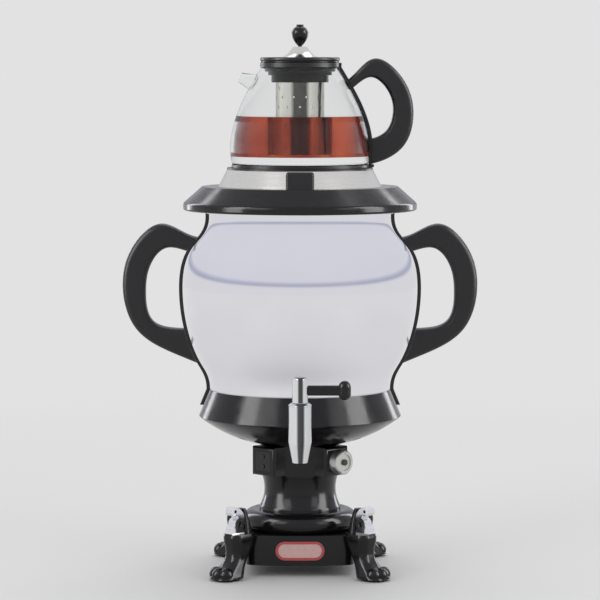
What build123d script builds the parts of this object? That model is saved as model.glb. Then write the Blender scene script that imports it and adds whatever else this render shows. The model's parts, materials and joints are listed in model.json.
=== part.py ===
from build123d import *
import os
from math import cos, radians, sin, sqrt

# Electric samovar with a glass teapot on its lid. Millimetres, +Z up, the origin on the floor under
# the middle of the column, the tap on the -Y side and the teapot's handle on the +X side.
# Radii are measured from the samovar's own axis, and the heights stack up from the floor.

# Clearances
seat_gap = 0.1  # between curved faces of pieces that stay together
lift_gap = 0.4  # around a piece that lifts out of another
running_gap = 0.05  # around a piece that turns in its bore
screw_gap = 0.1  # around a screw, bolt or stud in its hole
hole_lead = 2.5  # how far a screw's hole is cut clear behind the screw's seat

# Plinth
plinth_floor_gap = 10.5
plinth_height = 27.5
plinth_side_reach = 53.0  # axis to the middle of a bowed side
plinth_corner_reach = 65.0  # axis to the flat of a cut corner
plinth_corner_flat = 4.0
plinth_wall = 2.5
plinth_edge_round = 1.5
wire_hole_radius = 20.0
cover_recess = 2.0
cover_thickness = 2.0
cover_post_reach = 48.0
cover_post_radius = 4.0
cover_screw_radius = 1.3
cover_screw_depth = 8.0

# Legs, each along a diagonal of the plinth
pad_radius = 10.0
pad_height = 2.0
leg_height = 40.5
knee_depth = 25.0
knee_width = 20.0
ankle_height = 18.0
ankle_reach = 81.3
ankle_depth = 18.0
ankle_width = 18.0
heel_growth = 4.0  # heel over ankle, in depth and in width
calf_share = 0.6  # of the way up from the ankle, where the leg is as thick as its knee
leg_corner_share = 0.36  # a leg section's corner radius over its narrower side
foot_reach = 93.3
foot_depth = 28.0
foot_width = 26.0
toe_radius = 6.5
toe_spread = 48.0  # degrees between one toe and the next
toe_reach = 8.5  # from the middle of the foot to a toe's middle
toe_rise = 3.9
leg_screw_radius = 1.8
leg_screw_length = 18.0
leg_screw_boss = 9.0  # depth of the boss behind the plinth's corner
leg_screw_boss_width = 9.0
leg_screw_drop = 12.0  # below the top of the knee
horn_height = 22.5  # of the tongue that rises from the knee behind the scroll
horn_depth = 9.0
horn_width = 12.0
horn_tip_depth = 4.5
horn_tip_width = 7.0
horn_tip_lean = 4.0
horn_plinth_gap = 0.3

# Scrolls on the knees
scroll_height = 25.0
scroll_width = 9.0
scroll_foot_height = 4.0
scroll_large_radius = 5.8
scroll_small_radius = 4.2
scroll_eye_radius = 1.5
scroll_peg_radius = 1.8
scroll_peg_length = 5.0
scroll_inner_gap = 9.8  # from the plinth to the scroll
scroll_low_eye_sink = 1.0
scroll_low_eye_radius = 2.3
scroll_back_shift = 1.0
scroll_back_rise = 1.5
scroll_throat = 3.0

# Badge on the front of the plinth, left blank
badge_length = 44.0
badge_height = 17.0
badge_border = 2.2
badge_bezel_thickness = 1.6
badge_plate_thickness = 1.0

# Mains inlet in the back of the plinth, of the common three-pin size
inlet_width = 24.0
inlet_height = 16.5
inlet_depth = 21.0
inlet_wall = 1.6
inlet_flange_width = 30.0
inlet_flange_height = 22.0
inlet_flange_thickness = 2.0
inlet_pin_pitch = 7.0
inlet_pin_width = 2.0
inlet_pin_height = 5.0
inlet_pin_length = 14.0
inlet_earth_pin_rise = 1.7
inlet_side_pin_drop = 1.2

# Power board under the column
board_length = 56.0
board_width = 44.0
board_thickness = 1.6
board_post_height = 5.5
board_post_radius = 2.5
relay_length = 16.0
relay_width = 12.0
relay_height = 10.0
loom_radius = 3.5

# Bead between the plinth and the column
bead_height = 17.0
bead_foot_radius = 47.5
bead_radius = 52.0
bead_top_radius = 40.0
bead_wall = 2.5
bead_widest_height = 7.1
bead_bore_radius = 28.0
tie_bolt_radius = 1.5
tie_bolt_reach = 33.0
tie_bolt_bite = 6.0
tie_bolt_angles = (30.0, 150.0, 270.0)
screw_head_height = 1.8
screw_head_margin = 1.3  # a screw's head over its shank, on the radius

# Column
column_height = 61.5
column_foot_radius = 37.0
column_foot_height = 3.0
column_waist_radius = 32.5
column_waist_height = 20.0
column_radius = 36.0
column_shoulder_height = 34.0
column_wall = 2.6

# Control pods on the column, one each side of the tap
pod_angle = 45.0
pod_reach = 47.5
pod_width = 29.0
pod_height = 26.0
pod_drop = 1.0  # below the top of the column
pod_wall = 2.5
pod_edge_round = 2.5
dial_radius = 11.0
dial_thickness = 9.5
dial_dish_radius = 7.4
dial_dish_depth = 1.2
dial_insert_radius = 2.8
dial_insert_height = 1.6
dial_standoff = 0.5
dial_pointer_width = 1.4
spindle_radius = 3.0
spindle_length = 16.0
spindle_grip = 6.0  # how far the spindle goes into the dial
thermostat_radius = 9.0
thermostat_length = 17.0
panel_width = 19.0
panel_height = 18.0
panel_thickness = 1.5
lamp_radius = 2.2
lamp_pitch = 9.0
lamp_length = 7.0
lamp_proud = 0.6
lamp_board_thickness = 1.6

# Skirt bowl under the tank
skirt_neck_radius = 40.0
skirt_spigot_depth = 4.5
skirt_funnel_height = 24.5
skirt_lean = 10.0  # of its wall, from edge to top, on the radius
skirt_edge_drop = 1.2
skirt_sag = 3.5  # of the bowl's underside below a straight cone, halfway out
skirt_wall_height = 24.2
skirt_top_radius = 82.0
skirt_wall = 3.0
tank_post_reach = 60.0
tank_post_radius = 6.0
tank_screw_radius = 2.0
tank_screw_bite = 5.0
tank_screw_pocket = 4.0
tank_screw_angles = (90.0, 210.0, 330.0)
gasket_thickness = 0.8

# Tank
tank_wall = 1.2
tank_sump_depth = 22.0
tank_sump_round = 3.0
tank_height = 161.0
belly_radius = 106.5
belly_height = 83.5
flare_inset = 15.5  # from the belly's radius, as the next two insets
flare_height = 24.0
side_inset = 5.0
side_height = 51.0
shoulder_inset = 8.5
shoulder_height = 127.5
neck_radius = 82.5
neck_height = 5.0
rim_width = 3.0
rim_thickness = 1.5

# Heater under the tank's floor
heater_radius = 50.0
heater_thickness = 5.0
element_ring_radius = 36.0
element_radius = 4.0
element_pin_radius = 2.0
element_pin_length = 11.0
element_turn = 325.0  # degrees from one end of the ring to the other
element_pin_inset = 6.0  # degrees from an end to its pin
cutout_radius = 9.0
cutout_height = 8.0

# Tap
tap_boss_radius = 9.8
tap_drop = 10.0  # tap shank's axis below the top of the skirt bowl
tap_stand_off = 23.0  # tap barrel's axis from the boss
shank_radius = 6.0
water_bore_radius = 3.8
tap_flange_thickness = 2.5
tap_washer_thickness = 1.5
tap_nut_flats = 16.0
tap_nut_thickness = 4.0
shank_tail = 2.0
barrel_radius = 10.25
barrel_top = 7.0  # above the shank's axis
barrel_bottom = 24.0  # below the shank's axis
nozzle_length = 18.7
nozzle_radius = 6.6
plug_radius = 6.5
plug_depth = 12.0  # below the shank's axis
plug_play = 0.2
bonnet_height = 3.0
bonnet_top_radius = 7.4
stem_radius = 4.0
tap_head_radius = 7.0
tap_head_height = 22.0
tap_head_round = 2.0
lever_reach = 44.5
lever_height = 8.8
lever_width = 8.2
lever_depth = 11.5  # lever's middle below the top of the tap's head
lever_root_radius = 3.0
lever_tip_radius = 5.5
lever_tip_height = 17.0

# Side straps and handles
strap_thickness = 3.2
strap_width = 16.0
strap_skirt_reach = 15.0  # how far it runs down over the skirt bowl
strap_top_gap = 0.3
handle_thickness = 18.0
handle_round = 5.0
handle_outer_line = (  # out from the belly, up from the tank's foot
    (-24.0, 138.0),
    (-7.5, 139.0),
    (19.0, 149.5),
    (44.0, 131.0),
    (54.5, 91.0),
    (42.0, 53.5),
    (8.0, 31.5),
    (-24.0, 18.0),
)
handle_inner_line = (
    (-24.0, 54.5),
    (6.0, 54.5),
    (27.0, 61.0),
    (33.6, 88.0),
    (29.5, 111.5),
    (15.0, 127.5),
    (-5.0, 124.5),
    (-24.0, 123.0),
)
handle_stud_radius = 2.0
handle_stud_length = 12.0
handle_upper_stud_height = 132.0
handle_lower_stud_height = 41.0

# Lid: collar, inner plate and seal
collar_inset = 0.5  # from the belly's radius
collar_band_height = 6.5
collar_top_radius = 89.0
collar_bevel_height = 15.0
collar_wall = 2.5
collar_hole_radius = 71.0
collar_edge_round = 2.0
collar_shoulder_round = 4.0  # between the band and the bevel
lid_plate_thickness = 1.5
steam_hole_radius = 8.0
seal_flange = 1.0
seal_depth = 8.0
seal_width = 4.5

# Tray on the lid
tray_rim_margin = 4.2  # from the teapot's ring to the edge of the tray's shoulder
tray_splay = 7.8  # from its shoulder to its foot, on the radius
tray_side_height = 15.5
tray_deck_rise = 1.0
tray_deck_inset = 4.0
tray_sheet = 1.0
tray_vent_radius = 2.5
tray_vent_circle = 25.0
tray_vent_count = 6
tray_rim_height = 1.6
grip_width = 25.0
grip_height = 15.0
grip_proud = 6.0  # in front of the tray's foot
grip_round = 2.5

# Teapot
pot_ring_inset = 0.3  # from the heel of the glass
pot_ring_height = 3.5
pot_ring_width = 12.0
pot_lug_proud = 5.0
pot_lug_width = 10.0
pot_lug_thickness = 2.5
glass_thickness = 2.4
glass_floor = 7.5
glass_heel_round = 2.0
glass_widest_radius = 63.5
glass_widest_height = 15.0
glass_heel_inset = 1.2  # from the widest radius, as the next two insets
glass_cheek_inset = 5.0
glass_cheek_height = 42.0
glass_slope_inset = 15.5
glass_slope_height = 65.5
glass_rim_radius = 35.2
glass_height = 87.5
beak_root_height = 69.0
beak_root_reach = 30.0
beak_root_radius = 14.0
beak_mouth_height = 78.5
beak_mouth_reach = 54.5
beak_mouth_radius = 4.6
beak_waist_radius = 7.6
beak_waist_share = 0.55  # of the way from its root to its mouth
neck_ring_radius = 36.0
neck_ring_height = 4.0
neck_ring_spigot = 4.0
neck_ring_bore = 29.4
neck_ring_taper = 1.0
neck_ring_bond = 1.0  # how far the strap's root runs into the ring
pot_strap_thickness = 2.4
pot_strap_width = 10.0
pot_handle_thickness = 15.0
pot_handle_round = 4.2
pot_handle_outer_line = (  # out from the rim, up from the foot of the glass
    (0.0, 72.0),
    (10.0, 78.0),
    (32.0, 95.5),
    (56.0, 80.0),
    (67.5, 47.0),
    (59.0, 17.0),
    (40.0, 3.5),
    (0.0, 2.5),
)
pot_handle_inner_line = (
    (0.0, 23.0),
    (28.0, 23.0),
    (42.0, 29.5),
    (48.8, 46.5),
    (43.8, 67.0),
    (29.0, 78.5),
    (14.0, 70.0),
    (0.0, 62.0),
)
pot_screw_radius = 1.5
pot_screw_length = 8.0
pot_upper_screw_height = 75.0
pot_lower_screw_height = 12.0

# Infuser
infuser_flange_thickness = 1.5
infuser_flange_radius = 35.4
infuser_step_radius = 29.0
infuser_step_height = 11.5
infuser_waist_radius = 26.0
infuser_waist_height = 6.5
basket_radius = 22.0
basket_sheet = 0.8
basket_floor_gap = 1.5
basket_flange = 2.4
basket_ledge = 3.0
basket_hole_radius = 0.9
basket_hole_pitch = 9.0
basket_hole_rows = 6
basket_hole_columns = 12
basket_first_hole_rise = 6.3

# Teapot lid
pot_lid_thickness = 3.5
pot_lid_round = 1.2
pot_lid_plug_height = 6.0
cap_radius = 16.5
cap_middle_radius = 10.6
cap_middle_height = 4.0
cap_top_radius = 6.4
cap_height = 9.5
finial_neck_radius = 1.9
finial_neck_height = 1.0
finial_radius = 7.7
finial_wide_height = 12.5
finial_height = 18.0
finial_cheek_share = 0.8  # of its radius, halfway up to its widest
finial_shoulder_share = 0.85  # of its radius, halfway from its widest to its crown
finial_shoulder_rise = 0.3
finial_stud_radius = 1.5
finial_stud_length = 11.0
crown_radius = 3.4
crown_height = 2.0
crown_bead_radius = 1.4
crown_bead_count = 6

# Radii that follow from others
skirt_edge_radius = skirt_top_radius + skirt_lean
flare_radius = belly_radius - flare_inset
side_radius = belly_radius - side_inset
shoulder_radius = belly_radius - shoulder_inset
collar_radius = belly_radius - collar_inset
glass_heel_radius = glass_widest_radius - glass_heel_inset
glass_cheek_radius = glass_widest_radius - glass_cheek_inset
glass_slope_radius = glass_widest_radius - glass_slope_inset
pot_ring_radius = glass_heel_radius - pot_ring_inset
pot_lug_reach = pot_ring_radius + pot_lug_proud
tray_top_radius = pot_ring_radius + tray_rim_margin
tray_foot_radius = tray_top_radius + tray_splay
grip_reach = tray_foot_radius + grip_proud

# Heights of the stack, from the floor up
plinth_top = plinth_floor_gap + plinth_height
bead_top = plinth_top + bead_height
column_top = bead_top + column_height
skirt_edge_z = column_top + skirt_funnel_height
skirt_top = skirt_edge_z + skirt_wall_height
tank_foot = skirt_top + gasket_thickness
tank_floor = tank_foot - tank_sump_depth
tank_top = tank_foot + tank_height
lid_bottom = tank_top + seal_flange
collar_top = lid_bottom + collar_band_height + collar_bevel_height
tray_shoulder = collar_top + tray_side_height
tray_deck = tray_shoulder + tray_deck_rise
glass_bottom = tray_deck + pot_ring_height
glass_top = glass_bottom + glass_height
neck_ring_top = glass_top + neck_ring_height
pot_lid_bottom = neck_ring_top + infuser_flange_thickness
pot_lid_top = pot_lid_bottom + pot_lid_thickness
cap_top = pot_lid_top + cap_height

UP = (0, 0, 1)
MID = Align.CENTER
LOW = Align.MIN
front_angles = {"front_left": 225.0, "front_right": 315.0}
rear_angles = {"rear_left": 135.0, "rear_right": 45.0}
corner_angles = front_angles | rear_angles
side_angles = {"left": 180.0, "right": 0.0}


# Shapes used again and again


def profile(*edges):
    """A closed face of edges drawn as (radius, height)."""
    return make_face(Plane.XZ * Curve(list(edges)))


def outline(*points):
    """A closed face with straight sides through (radius, height) points."""
    return Plane.XZ * make_face(Polyline(*points, close=True))


def loop_face(outer, inner):
    """A (radius, height) face between two smooth lines, the second drawn back from the first."""
    return profile(
        Spline(*outer),
        Line(outer[-1], inner[0]),
        Spline(*inner),
        Line(inner[-1], outer[0]),
    )


def turned(face):
    """The solid that a (radius, height) face makes round the samovar's axis."""
    return revolve(face, Axis.Z)


def rod(radius, low, high, x=0.0, y=0.0):
    """An upright cylinder between two heights."""
    return Pos(x, y, low) * Cylinder(radius, high - low, align=(MID, MID, LOW))


def slab(width, height, depth, lift=0.0):
    """A box centred on the Z axis, its lower face lifted off the ground plane."""
    return Pos(0, 0, lift) * Box(width, height, depth, align=(MID, MID, LOW))


def tube(outer, inner, low, high):
    """An upright ring between two heights."""
    return rod(outer, low, high) - rod(inner, low, high)


def block(low_corner, high_corner):
    """A box between two corners."""
    sizes = [high - low for low, high in zip(low_corner, high_corner)]
    return Pos(*low_corner) * Box(*sizes, align=(LOW, LOW, LOW))


def rod_along(axis_plane, radius, near, far, x=0.0, y=0.0):
    """A cylinder along a plane's own Z, from near to far."""
    return axis_plane * rod(radius, near, far, x, y)


def turned_about_z(shape, degrees):
    """The shape turned about the samovar's axis."""
    return Rot(0, 0, degrees) * shape


def around(shape, count, first=0.0):
    """Copies of a shape evenly round the samovar's axis."""
    return [turned_about_z(shape, first + 360.0 * i / count) for i in range(count)]


def screw(axis_plane, radius, length):
    """A cheese-headed screw: its head's seat at the plane, its shank along the plane's Z."""
    head = rod_along(axis_plane, radius + screw_head_margin, -screw_head_height, 0)
    return head + rod_along(axis_plane, radius, 0, length)


def screw_hole(axis_plane, radius, length):
    """The hole that a screw's shank needs, from behind its seat to past its tip."""
    return rod_along(axis_plane, radius + screw_gap, -hole_lead, length + screw_gap)


# Legs, pads, scrolls


def leg_screw_plane():
    """Where the screw that holds a leg along +X enters: on the inside of the plinth's corner."""
    seat = plinth_corner_reach - leg_screw_boss
    return Plane(origin=(seat, 0, leg_height - leg_screw_drop), x_dir=UP, z_dir=(1, 0, 0))


def leg_section(reach, depth, width, height):
    """One level outline of a leg along +X."""
    corner = leg_corner_share * min(depth, width)
    return Pos(reach, 0, height) * RectangleRounded(depth, width, corner)


def scroll_peg(growth=0.0):
    """The peg under a scroll, along +X."""
    middle = plinth_corner_reach + knee_depth / 2
    low = leg_height - scroll_peg_length - growth
    return rod(scroll_peg_radius + growth, low, leg_height + scroll_foot_height / 2, middle)


def knee_horn():
    """The tongue that rises from the inner side of a knee along +X, leaning out to its tip."""
    root = plinth_corner_reach + horn_plinth_gap + horn_depth / 2
    top = leg_height + horn_height
    middle = (leg_height + top) / 2
    waist_depth = (horn_depth + horn_tip_depth) / 2
    waist_width = (horn_width + horn_tip_width) / 2
    return loft(
        [
            leg_section(root, horn_depth, horn_width, leg_height),
            leg_section(root + horn_tip_lean / 4, waist_depth, waist_width, middle),
            leg_section(root + horn_tip_lean, horn_tip_depth, horn_tip_width, top),
        ]
    )


def leg(ornate):
    """A bandy leg along +X with three toes, its knee ready for a scroll if it is ornate."""
    knee = plinth_corner_reach + knee_depth / 2
    calf = ankle_height + calf_share * (leg_height - ankle_height)
    heel = (ankle_height + pad_height) / 2
    heel_reach = (foot_reach + ankle_reach) / 2
    sections = [
        leg_section(foot_reach, foot_depth, foot_width, pad_height),
        leg_section(heel_reach, ankle_depth + heel_growth, ankle_width + heel_growth, heel),
        leg_section(ankle_reach, ankle_depth, ankle_width, ankle_height),
        leg_section(knee, knee_depth, knee_width, calf),
        leg_section(knee, knee_depth, knee_width, leg_height),
    ]
    shape = loft(sections)
    if ornate:
        shape += knee_horn()
    for turn in (-toe_spread, 0.0, toe_spread):
        x = foot_reach + toe_reach * cos(radians(turn))
        y = toe_reach * sin(radians(turn))
        shape += Pos(x, y, pad_height + toe_rise) * Sphere(toe_radius)
    width = 2 * foot_width
    shape -= block((0, -width, -width), (2 * foot_reach, width, pad_height))
    shape -= block((0, -width, pad_height), (plinth_corner_reach, width, 2 * leg_height))
    shape -= screw_hole(leg_screw_plane(), leg_screw_radius, leg_screw_length)
    return shape - scroll_peg(screw_gap) if ornate else shape


def scroll():
    """An open scroll that stands on a knee along +X, with two round eyes."""
    inner = plinth_corner_reach + scroll_inner_gap
    outer = plinth_corner_reach + knee_depth
    middle = (inner + outer) / 2
    foot_top = leg_height + scroll_foot_height
    top = leg_height + scroll_height
    low_x = inner + scroll_large_radius
    low_z = foot_top + scroll_large_radius - scroll_low_eye_sink
    high_x = outer - scroll_small_radius
    high_z = top - scroll_small_radius
    foot = Pos(middle, leg_height + scroll_foot_height / 2) * RectangleRounded(
        outer - inner, scroll_foot_height, scroll_foot_height / 3
    )
    back = (low_x - scroll_back_shift, high_z + scroll_back_rise)
    throat = (low_x + scroll_throat, high_z - scroll_throat)
    stem = Curve(
        [
            ThreePointArc((inner, low_z), back, (high_x, top)),
            Line((high_x, top), (high_x, high_z)),
            ThreePointArc((high_x, high_z), throat, (low_x, low_z)),
            Line((low_x, low_z), (inner, low_z)),
        ]
    )
    spur = Pos(outer - scroll_foot_height, foot_top) * Circle(scroll_foot_height)
    face = make_face(stem) + foot + spur
    face += Pos(low_x, low_z) * Circle(scroll_large_radius)
    face += Pos(high_x, high_z) * Circle(scroll_small_radius)
    face -= Pos(low_x, low_z) * Circle(scroll_low_eye_radius)
    face -= Pos(high_x, high_z) * Circle(scroll_eye_radius)
    face &= Pos(inner, leg_height) * Rectangle(
        2 * knee_depth, 2 * scroll_height, align=(LOW, LOW)
    )
    return extrude(Plane.XZ * face, scroll_width / 2, both=True) + scroll_peg()


# Plinth and what it holds


def plinth_plan(inset=0.0):
    """The plinth's outline seen from above, with bowed sides and cut corners."""
    corner = (plinth_corner_reach - inset) / sqrt(2)
    half_flat = plinth_corner_flat / sqrt(2) / 2
    near = corner - half_flat
    far = corner + half_flat
    side = plinth_side_reach - inset
    edges = []
    for turn in range(4):
        spin = Rot(0, 0, 90.0 * turn)
        edges.append(spin * ThreePointArc((-near, -far), (0, -side), (near, -far)))
        edges.append(spin * Line((near, -far), (far, -near)))
    return make_face(Curve(edges))


def front_bow():
    """The radius of the plinth's bowed front and the Y of that arc's middle."""
    corner = plinth_corner_reach / sqrt(2)
    half_flat = plinth_corner_flat / sqrt(2) / 2
    half_chord = corner - half_flat
    rise = plinth_side_reach - corner - half_flat
    radius = (half_chord**2 + rise**2) / (2 * rise)
    return radius, radius - plinth_side_reach


inlet_z = plinth_floor_gap + plinth_height / 2
inlet_seat = plinth_side_reach + 0.2
inlet_plane = Plane(origin=(0, inlet_seat, inlet_z), x_dir=(-1, 0, 0), z_dir=(0, 1, 0))
cover_bottom = plinth_floor_gap + cover_recess
cover_top = cover_bottom + cover_thickness
cover_post_place = cover_post_reach / sqrt(2)
board_bottom = cover_top + board_post_height
board_top = board_bottom + board_thickness
loom_low = board_top


def cover_screw_planes():
    """Where the four screws of the bottom cover enter, heads down."""
    sides = (-cover_post_place, cover_post_place)
    return [Plane(origin=(x, y, cover_bottom), z_dir=UP) for x in sides for y in sides]


def tie_bolt_planes():
    """Where the three bolts that hold plinth, bead and column together enter."""
    seat = plinth_top - plinth_wall
    planes = []
    for degrees in tie_bolt_angles:
        x = tie_bolt_reach * cos(radians(degrees))
        y = tie_bolt_reach * sin(radians(degrees))
        planes.append(Plane(origin=(x, y, seat), z_dir=UP))
    return planes


tie_bolt_length = plinth_wall + bead_height + tie_bolt_bite


def plinth():
    """The plinth's shell: open below, with screw posts, a wire hole and the inlet's window."""
    shape = extrude(Pos(0, 0, plinth_floor_gap) * plinth_plan(), plinth_height)
    top_edges = shape.edges().group_by(Axis.Z)[-1]
    shape = fillet(top_edges, plinth_edge_round)
    depth = plinth_height - plinth_wall
    shape -= extrude(Pos(0, 0, plinth_floor_gap) * plinth_plan(plinth_wall), depth)
    deck = plinth_top - plinth_wall
    for plane in cover_screw_planes():
        x, y = plane.origin.X, plane.origin.Y
        shape += rod(cover_post_radius, cover_top, deck, x, y)
        shape -= screw_hole(plane, cover_screw_radius, cover_thickness + cover_screw_depth)
    pad_width = inlet_flange_width + 2 * plinth_wall
    pad_low = (-pad_width / 2, plinth_side_reach - 2 * plinth_wall, cover_top)
    shape += block(pad_low, (pad_width / 2, inlet_seat, deck))
    window = (inlet_width + 2 * seat_gap, inlet_height + 2 * seat_gap)
    shape -= inlet_plane * Box(*window, 6 * plinth_wall)
    shape -= rod(wire_hole_radius, deck, plinth_top)
    boss_room = extrude(Pos(0, 0, cover_top) * plinth_plan(plinth_wall / 2), deck - cover_top)
    boss_half = leg_screw_boss_width / 2
    boss_low = leg_height - leg_screw_drop - boss_half
    leg_boss = block(
        (plinth_corner_reach - leg_screw_boss, -boss_half, boss_low),
        (plinth_corner_reach, boss_half, deck),
    )
    for degrees in corner_angles.values():
        shape += turned_about_z(leg_boss, degrees) & boss_room
        hole = screw_hole(leg_screw_plane(), leg_screw_radius, leg_screw_length)
        shape -= turned_about_z(hole, degrees)
    for plane in tie_bolt_planes():
        shape -= screw_hole(plane, tie_bolt_radius, tie_bolt_length)
    return shape


def plinth_cover():
    """The bottom cover, with the power board's posts."""
    plan = plinth_plan(plinth_wall + seat_gap)
    shape = extrude(Pos(0, 0, cover_bottom) * plan, cover_thickness)
    post_x = board_length / 2 - 2 * board_post_radius
    post_y = board_width / 2 - 2 * board_post_radius
    for x in (-post_x, post_x):
        for y in (-post_y, post_y):
            shape += rod(board_post_radius, cover_top, board_bottom, x, y)
    for plane in cover_screw_planes():
        shape -= screw_hole(plane, cover_screw_radius, cover_thickness)
    return shape


def base_screws():
    """The cover's four screws and the legs' four screws."""
    length = cover_thickness + cover_screw_depth
    screws = [screw(plane, cover_screw_radius, length) for plane in cover_screw_planes()]
    leg_screw = screw(leg_screw_plane(), leg_screw_radius, leg_screw_length)
    screws += [turned_about_z(leg_screw, degrees) for degrees in corner_angles.values()]
    return screws


def badge(length, height, thickness):
    """A rounded plate that lies on the bowed front of the plinth."""
    radius, middle_y = front_bow()
    middle_z = plinth_floor_gap + plinth_height / 2
    front = Plane(origin=(0, 0, middle_z), x_dir=(1, 0, 0), z_dir=(0, -1, 0))
    pill = front * extrude(SlotOverall(length, height), 2 * plinth_side_reach)
    shell = rod(radius + thickness, 0, plinth_top, 0, middle_y)
    return (pill & shell) - rod(radius, 0, plinth_top, 0, middle_y)


def badge_bezel():
    """The raised rim of the badge."""
    inner_length = badge_length - 2 * badge_border
    inner_height = badge_height - 2 * badge_border
    rim = badge(badge_length, badge_height, badge_bezel_thickness)
    return rim - badge(inner_length, inner_height, 2 * badge_bezel_thickness)


def badge_plate():
    """The blank field of the badge."""
    inset = 2 * (badge_border + seat_gap)
    return badge(badge_length - inset, badge_height - inset, badge_plate_thickness)


def mains_inlet():
    """The inlet's flanged box, open to the back."""
    room_width = inlet_width - 2 * inlet_wall
    room_height = inlet_height - 2 * inlet_wall
    room_depth = inlet_depth + inlet_flange_thickness - inlet_wall
    shape = slab(inlet_flange_width, inlet_flange_height, inlet_flange_thickness)
    shape += slab(inlet_width, inlet_height, inlet_depth, -inlet_depth)
    shape -= slab(room_width, room_height, room_depth, inlet_wall - inlet_depth)
    return inlet_plane * shape


def inlet_pins():
    """The inlet's three flat pins, the middle one higher than its neighbours."""
    pins = []
    pin = slab(inlet_pin_width, inlet_pin_height, inlet_pin_length, inlet_wall - inlet_depth)
    for column, shift in (
        (-1, -inlet_side_pin_drop),
        (0, inlet_earth_pin_rise),
        (1, -inlet_side_pin_drop),
    ):
        pins.append(inlet_plane * (Pos(column * inlet_pin_pitch, shift, 0) * pin))
    return pins


def power_board():
    """The board and its relay, on the cover's posts."""
    half_length = board_length / 2
    half_width = board_width / 2
    shape = block((-half_length, -half_width, board_bottom), (half_length, half_width, board_top))
    relay_x = -2 * loom_radius - relay_length
    relay_low = (relay_x, -relay_width / 2, board_top)
    relay_high = (relay_x + relay_length, relay_width / 2, board_top + relay_height)
    return shape + block(relay_low, relay_high)


# Bead, column and control pods


def base_bead():
    """The rounded moulding between the plinth and the column."""
    middle = plinth_top + bead_widest_height
    inner_foot = bead_foot_radius - bead_wall
    inner_top = bead_top_radius - bead_wall
    inner_middle = (bead_radius - bead_wall, middle)
    bore = bead_bore_radius
    under = bead_top - bead_wall
    outer_foot = (bead_foot_radius, plinth_top)
    outer_top = (bead_top_radius, bead_top)
    shape = turned(
        profile(
            ThreePointArc(outer_foot, (bead_radius, middle), outer_top),
            Line(outer_top, (bore, bead_top)),
            Line((bore, bead_top), (bore, under)),
            Line((bore, under), (inner_top, under)),
            ThreePointArc((inner_top, under), inner_middle, (inner_foot, plinth_top)),
            Line((inner_foot, plinth_top), outer_foot),
        )
    )
    for plane in tie_bolt_planes():
        shape -= screw_hole(plane, tie_bolt_radius, tie_bolt_length)
    return shape


def tie_bolts():
    """The three long bolts from the plinth's deck into the column's foot."""
    return [screw(plane, tie_bolt_radius, tie_bolt_length) for plane in tie_bolt_planes()]


pod_middle_z = column_top - pod_drop - pod_height / 2
dial_angle = -pod_angle
panel_angle = pod_angle - 180.0


def pod_plane(degrees):
    """The plane of a pod: Z outward along its direction, Y up, origin on the samovar's axis."""
    outward = (cos(radians(degrees)), sin(radians(degrees)), 0)
    sideways = (-sin(radians(degrees)), cos(radians(degrees)), 0)
    return Plane(origin=(0, 0, pod_middle_z), x_dir=sideways, z_dir=outward)


dial_plane = pod_plane(dial_angle)
panel_plane = pod_plane(panel_angle)
pod_room = (pod_width - 2 * pod_wall, pod_height - 2 * pod_wall)
pod_inner_face = pod_reach - pod_wall
lamp_places = [(0, -lamp_pitch / 2), (0, lamp_pitch / 2)]


def column():
    """The hollow column with its two control pods."""
    foot_top = bead_top + column_foot_height
    waist_z = bead_top + column_waist_height
    shoulder = bead_top + column_shoulder_height
    bore = column_waist_radius - column_wall
    wide_bore = column_radius - column_wall
    step = shoulder - 2 * column_wall
    foot_edge = (column_foot_radius, foot_top)
    shoulder_edge = (column_radius, shoulder)
    shape = turned(
        profile(
            Line((bore, bead_top), (column_foot_radius, bead_top)),
            Line((column_foot_radius, bead_top), foot_edge),
            ThreePointArc(foot_edge, (column_waist_radius, waist_z), shoulder_edge),
            Line(shoulder_edge, (column_radius, column_top)),
            Line((column_radius, column_top), (wide_bore, column_top)),
            Line((wide_bore, column_top), (wide_bore, shoulder)),
            Line((wide_bore, shoulder), (bore, step)),
            Line((bore, step), (bore, bead_top)),
        )
    )
    start = column_waist_radius / 2
    for plane in (dial_plane, panel_plane):
        pod = slab(pod_width, pod_height, pod_reach - start, start)
        pod = fillet(pod.edges().group_by(Axis.Z)[-1], pod_edge_round)
        pod = plane * pod - rod(wide_bore, bead_top, column_top)
        shape += pod
    for plane in (dial_plane, panel_plane):
        shape -= plane * slab(*pod_room, pod_inner_face - start, start)
    shape -= rod_along(dial_plane, spindle_radius + lift_gap, pod_inner_face, pod_reach)
    recess = (panel_width + 2 * seat_gap, panel_height + 2 * seat_gap, panel_thickness)
    shape -= panel_plane * slab(*recess, pod_reach - panel_thickness)
    for x, y in lamp_places:
        shape -= rod_along(panel_plane, lamp_radius + seat_gap, pod_inner_face, pod_reach, x, y)
    for plane in tie_bolt_planes():
        shape -= screw_hole(plane, tie_bolt_radius, tie_bolt_length)
    return shape


def indicator_panel():
    """The dark window on the left pod."""
    plate = slab(panel_width, panel_height, panel_thickness, pod_reach - panel_thickness)
    shape = panel_plane * plate
    for x, y in lamp_places:
        shape -= rod_along(panel_plane, lamp_radius + seat_gap, 0, 2 * pod_reach, x, y)
    return shape


def indicator_lamps():
    """The boiling lamp and the keep-warm lamp."""
    far = pod_reach + lamp_proud
    near = far - lamp_length
    return [rod_along(panel_plane, lamp_radius, near, far, x, y) for x, y in lamp_places]


def indicator_board():
    """The small board behind the two lamps."""
    width, height = pod_room
    near = pod_reach + lamp_proud - lamp_length - lamp_board_thickness
    return panel_plane * slab(
        width - 2 * seat_gap, height - 2 * seat_gap, lamp_board_thickness, near
    )


spindle_far = pod_reach + dial_standoff + spindle_grip
spindle_near = spindle_far - spindle_length


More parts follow.
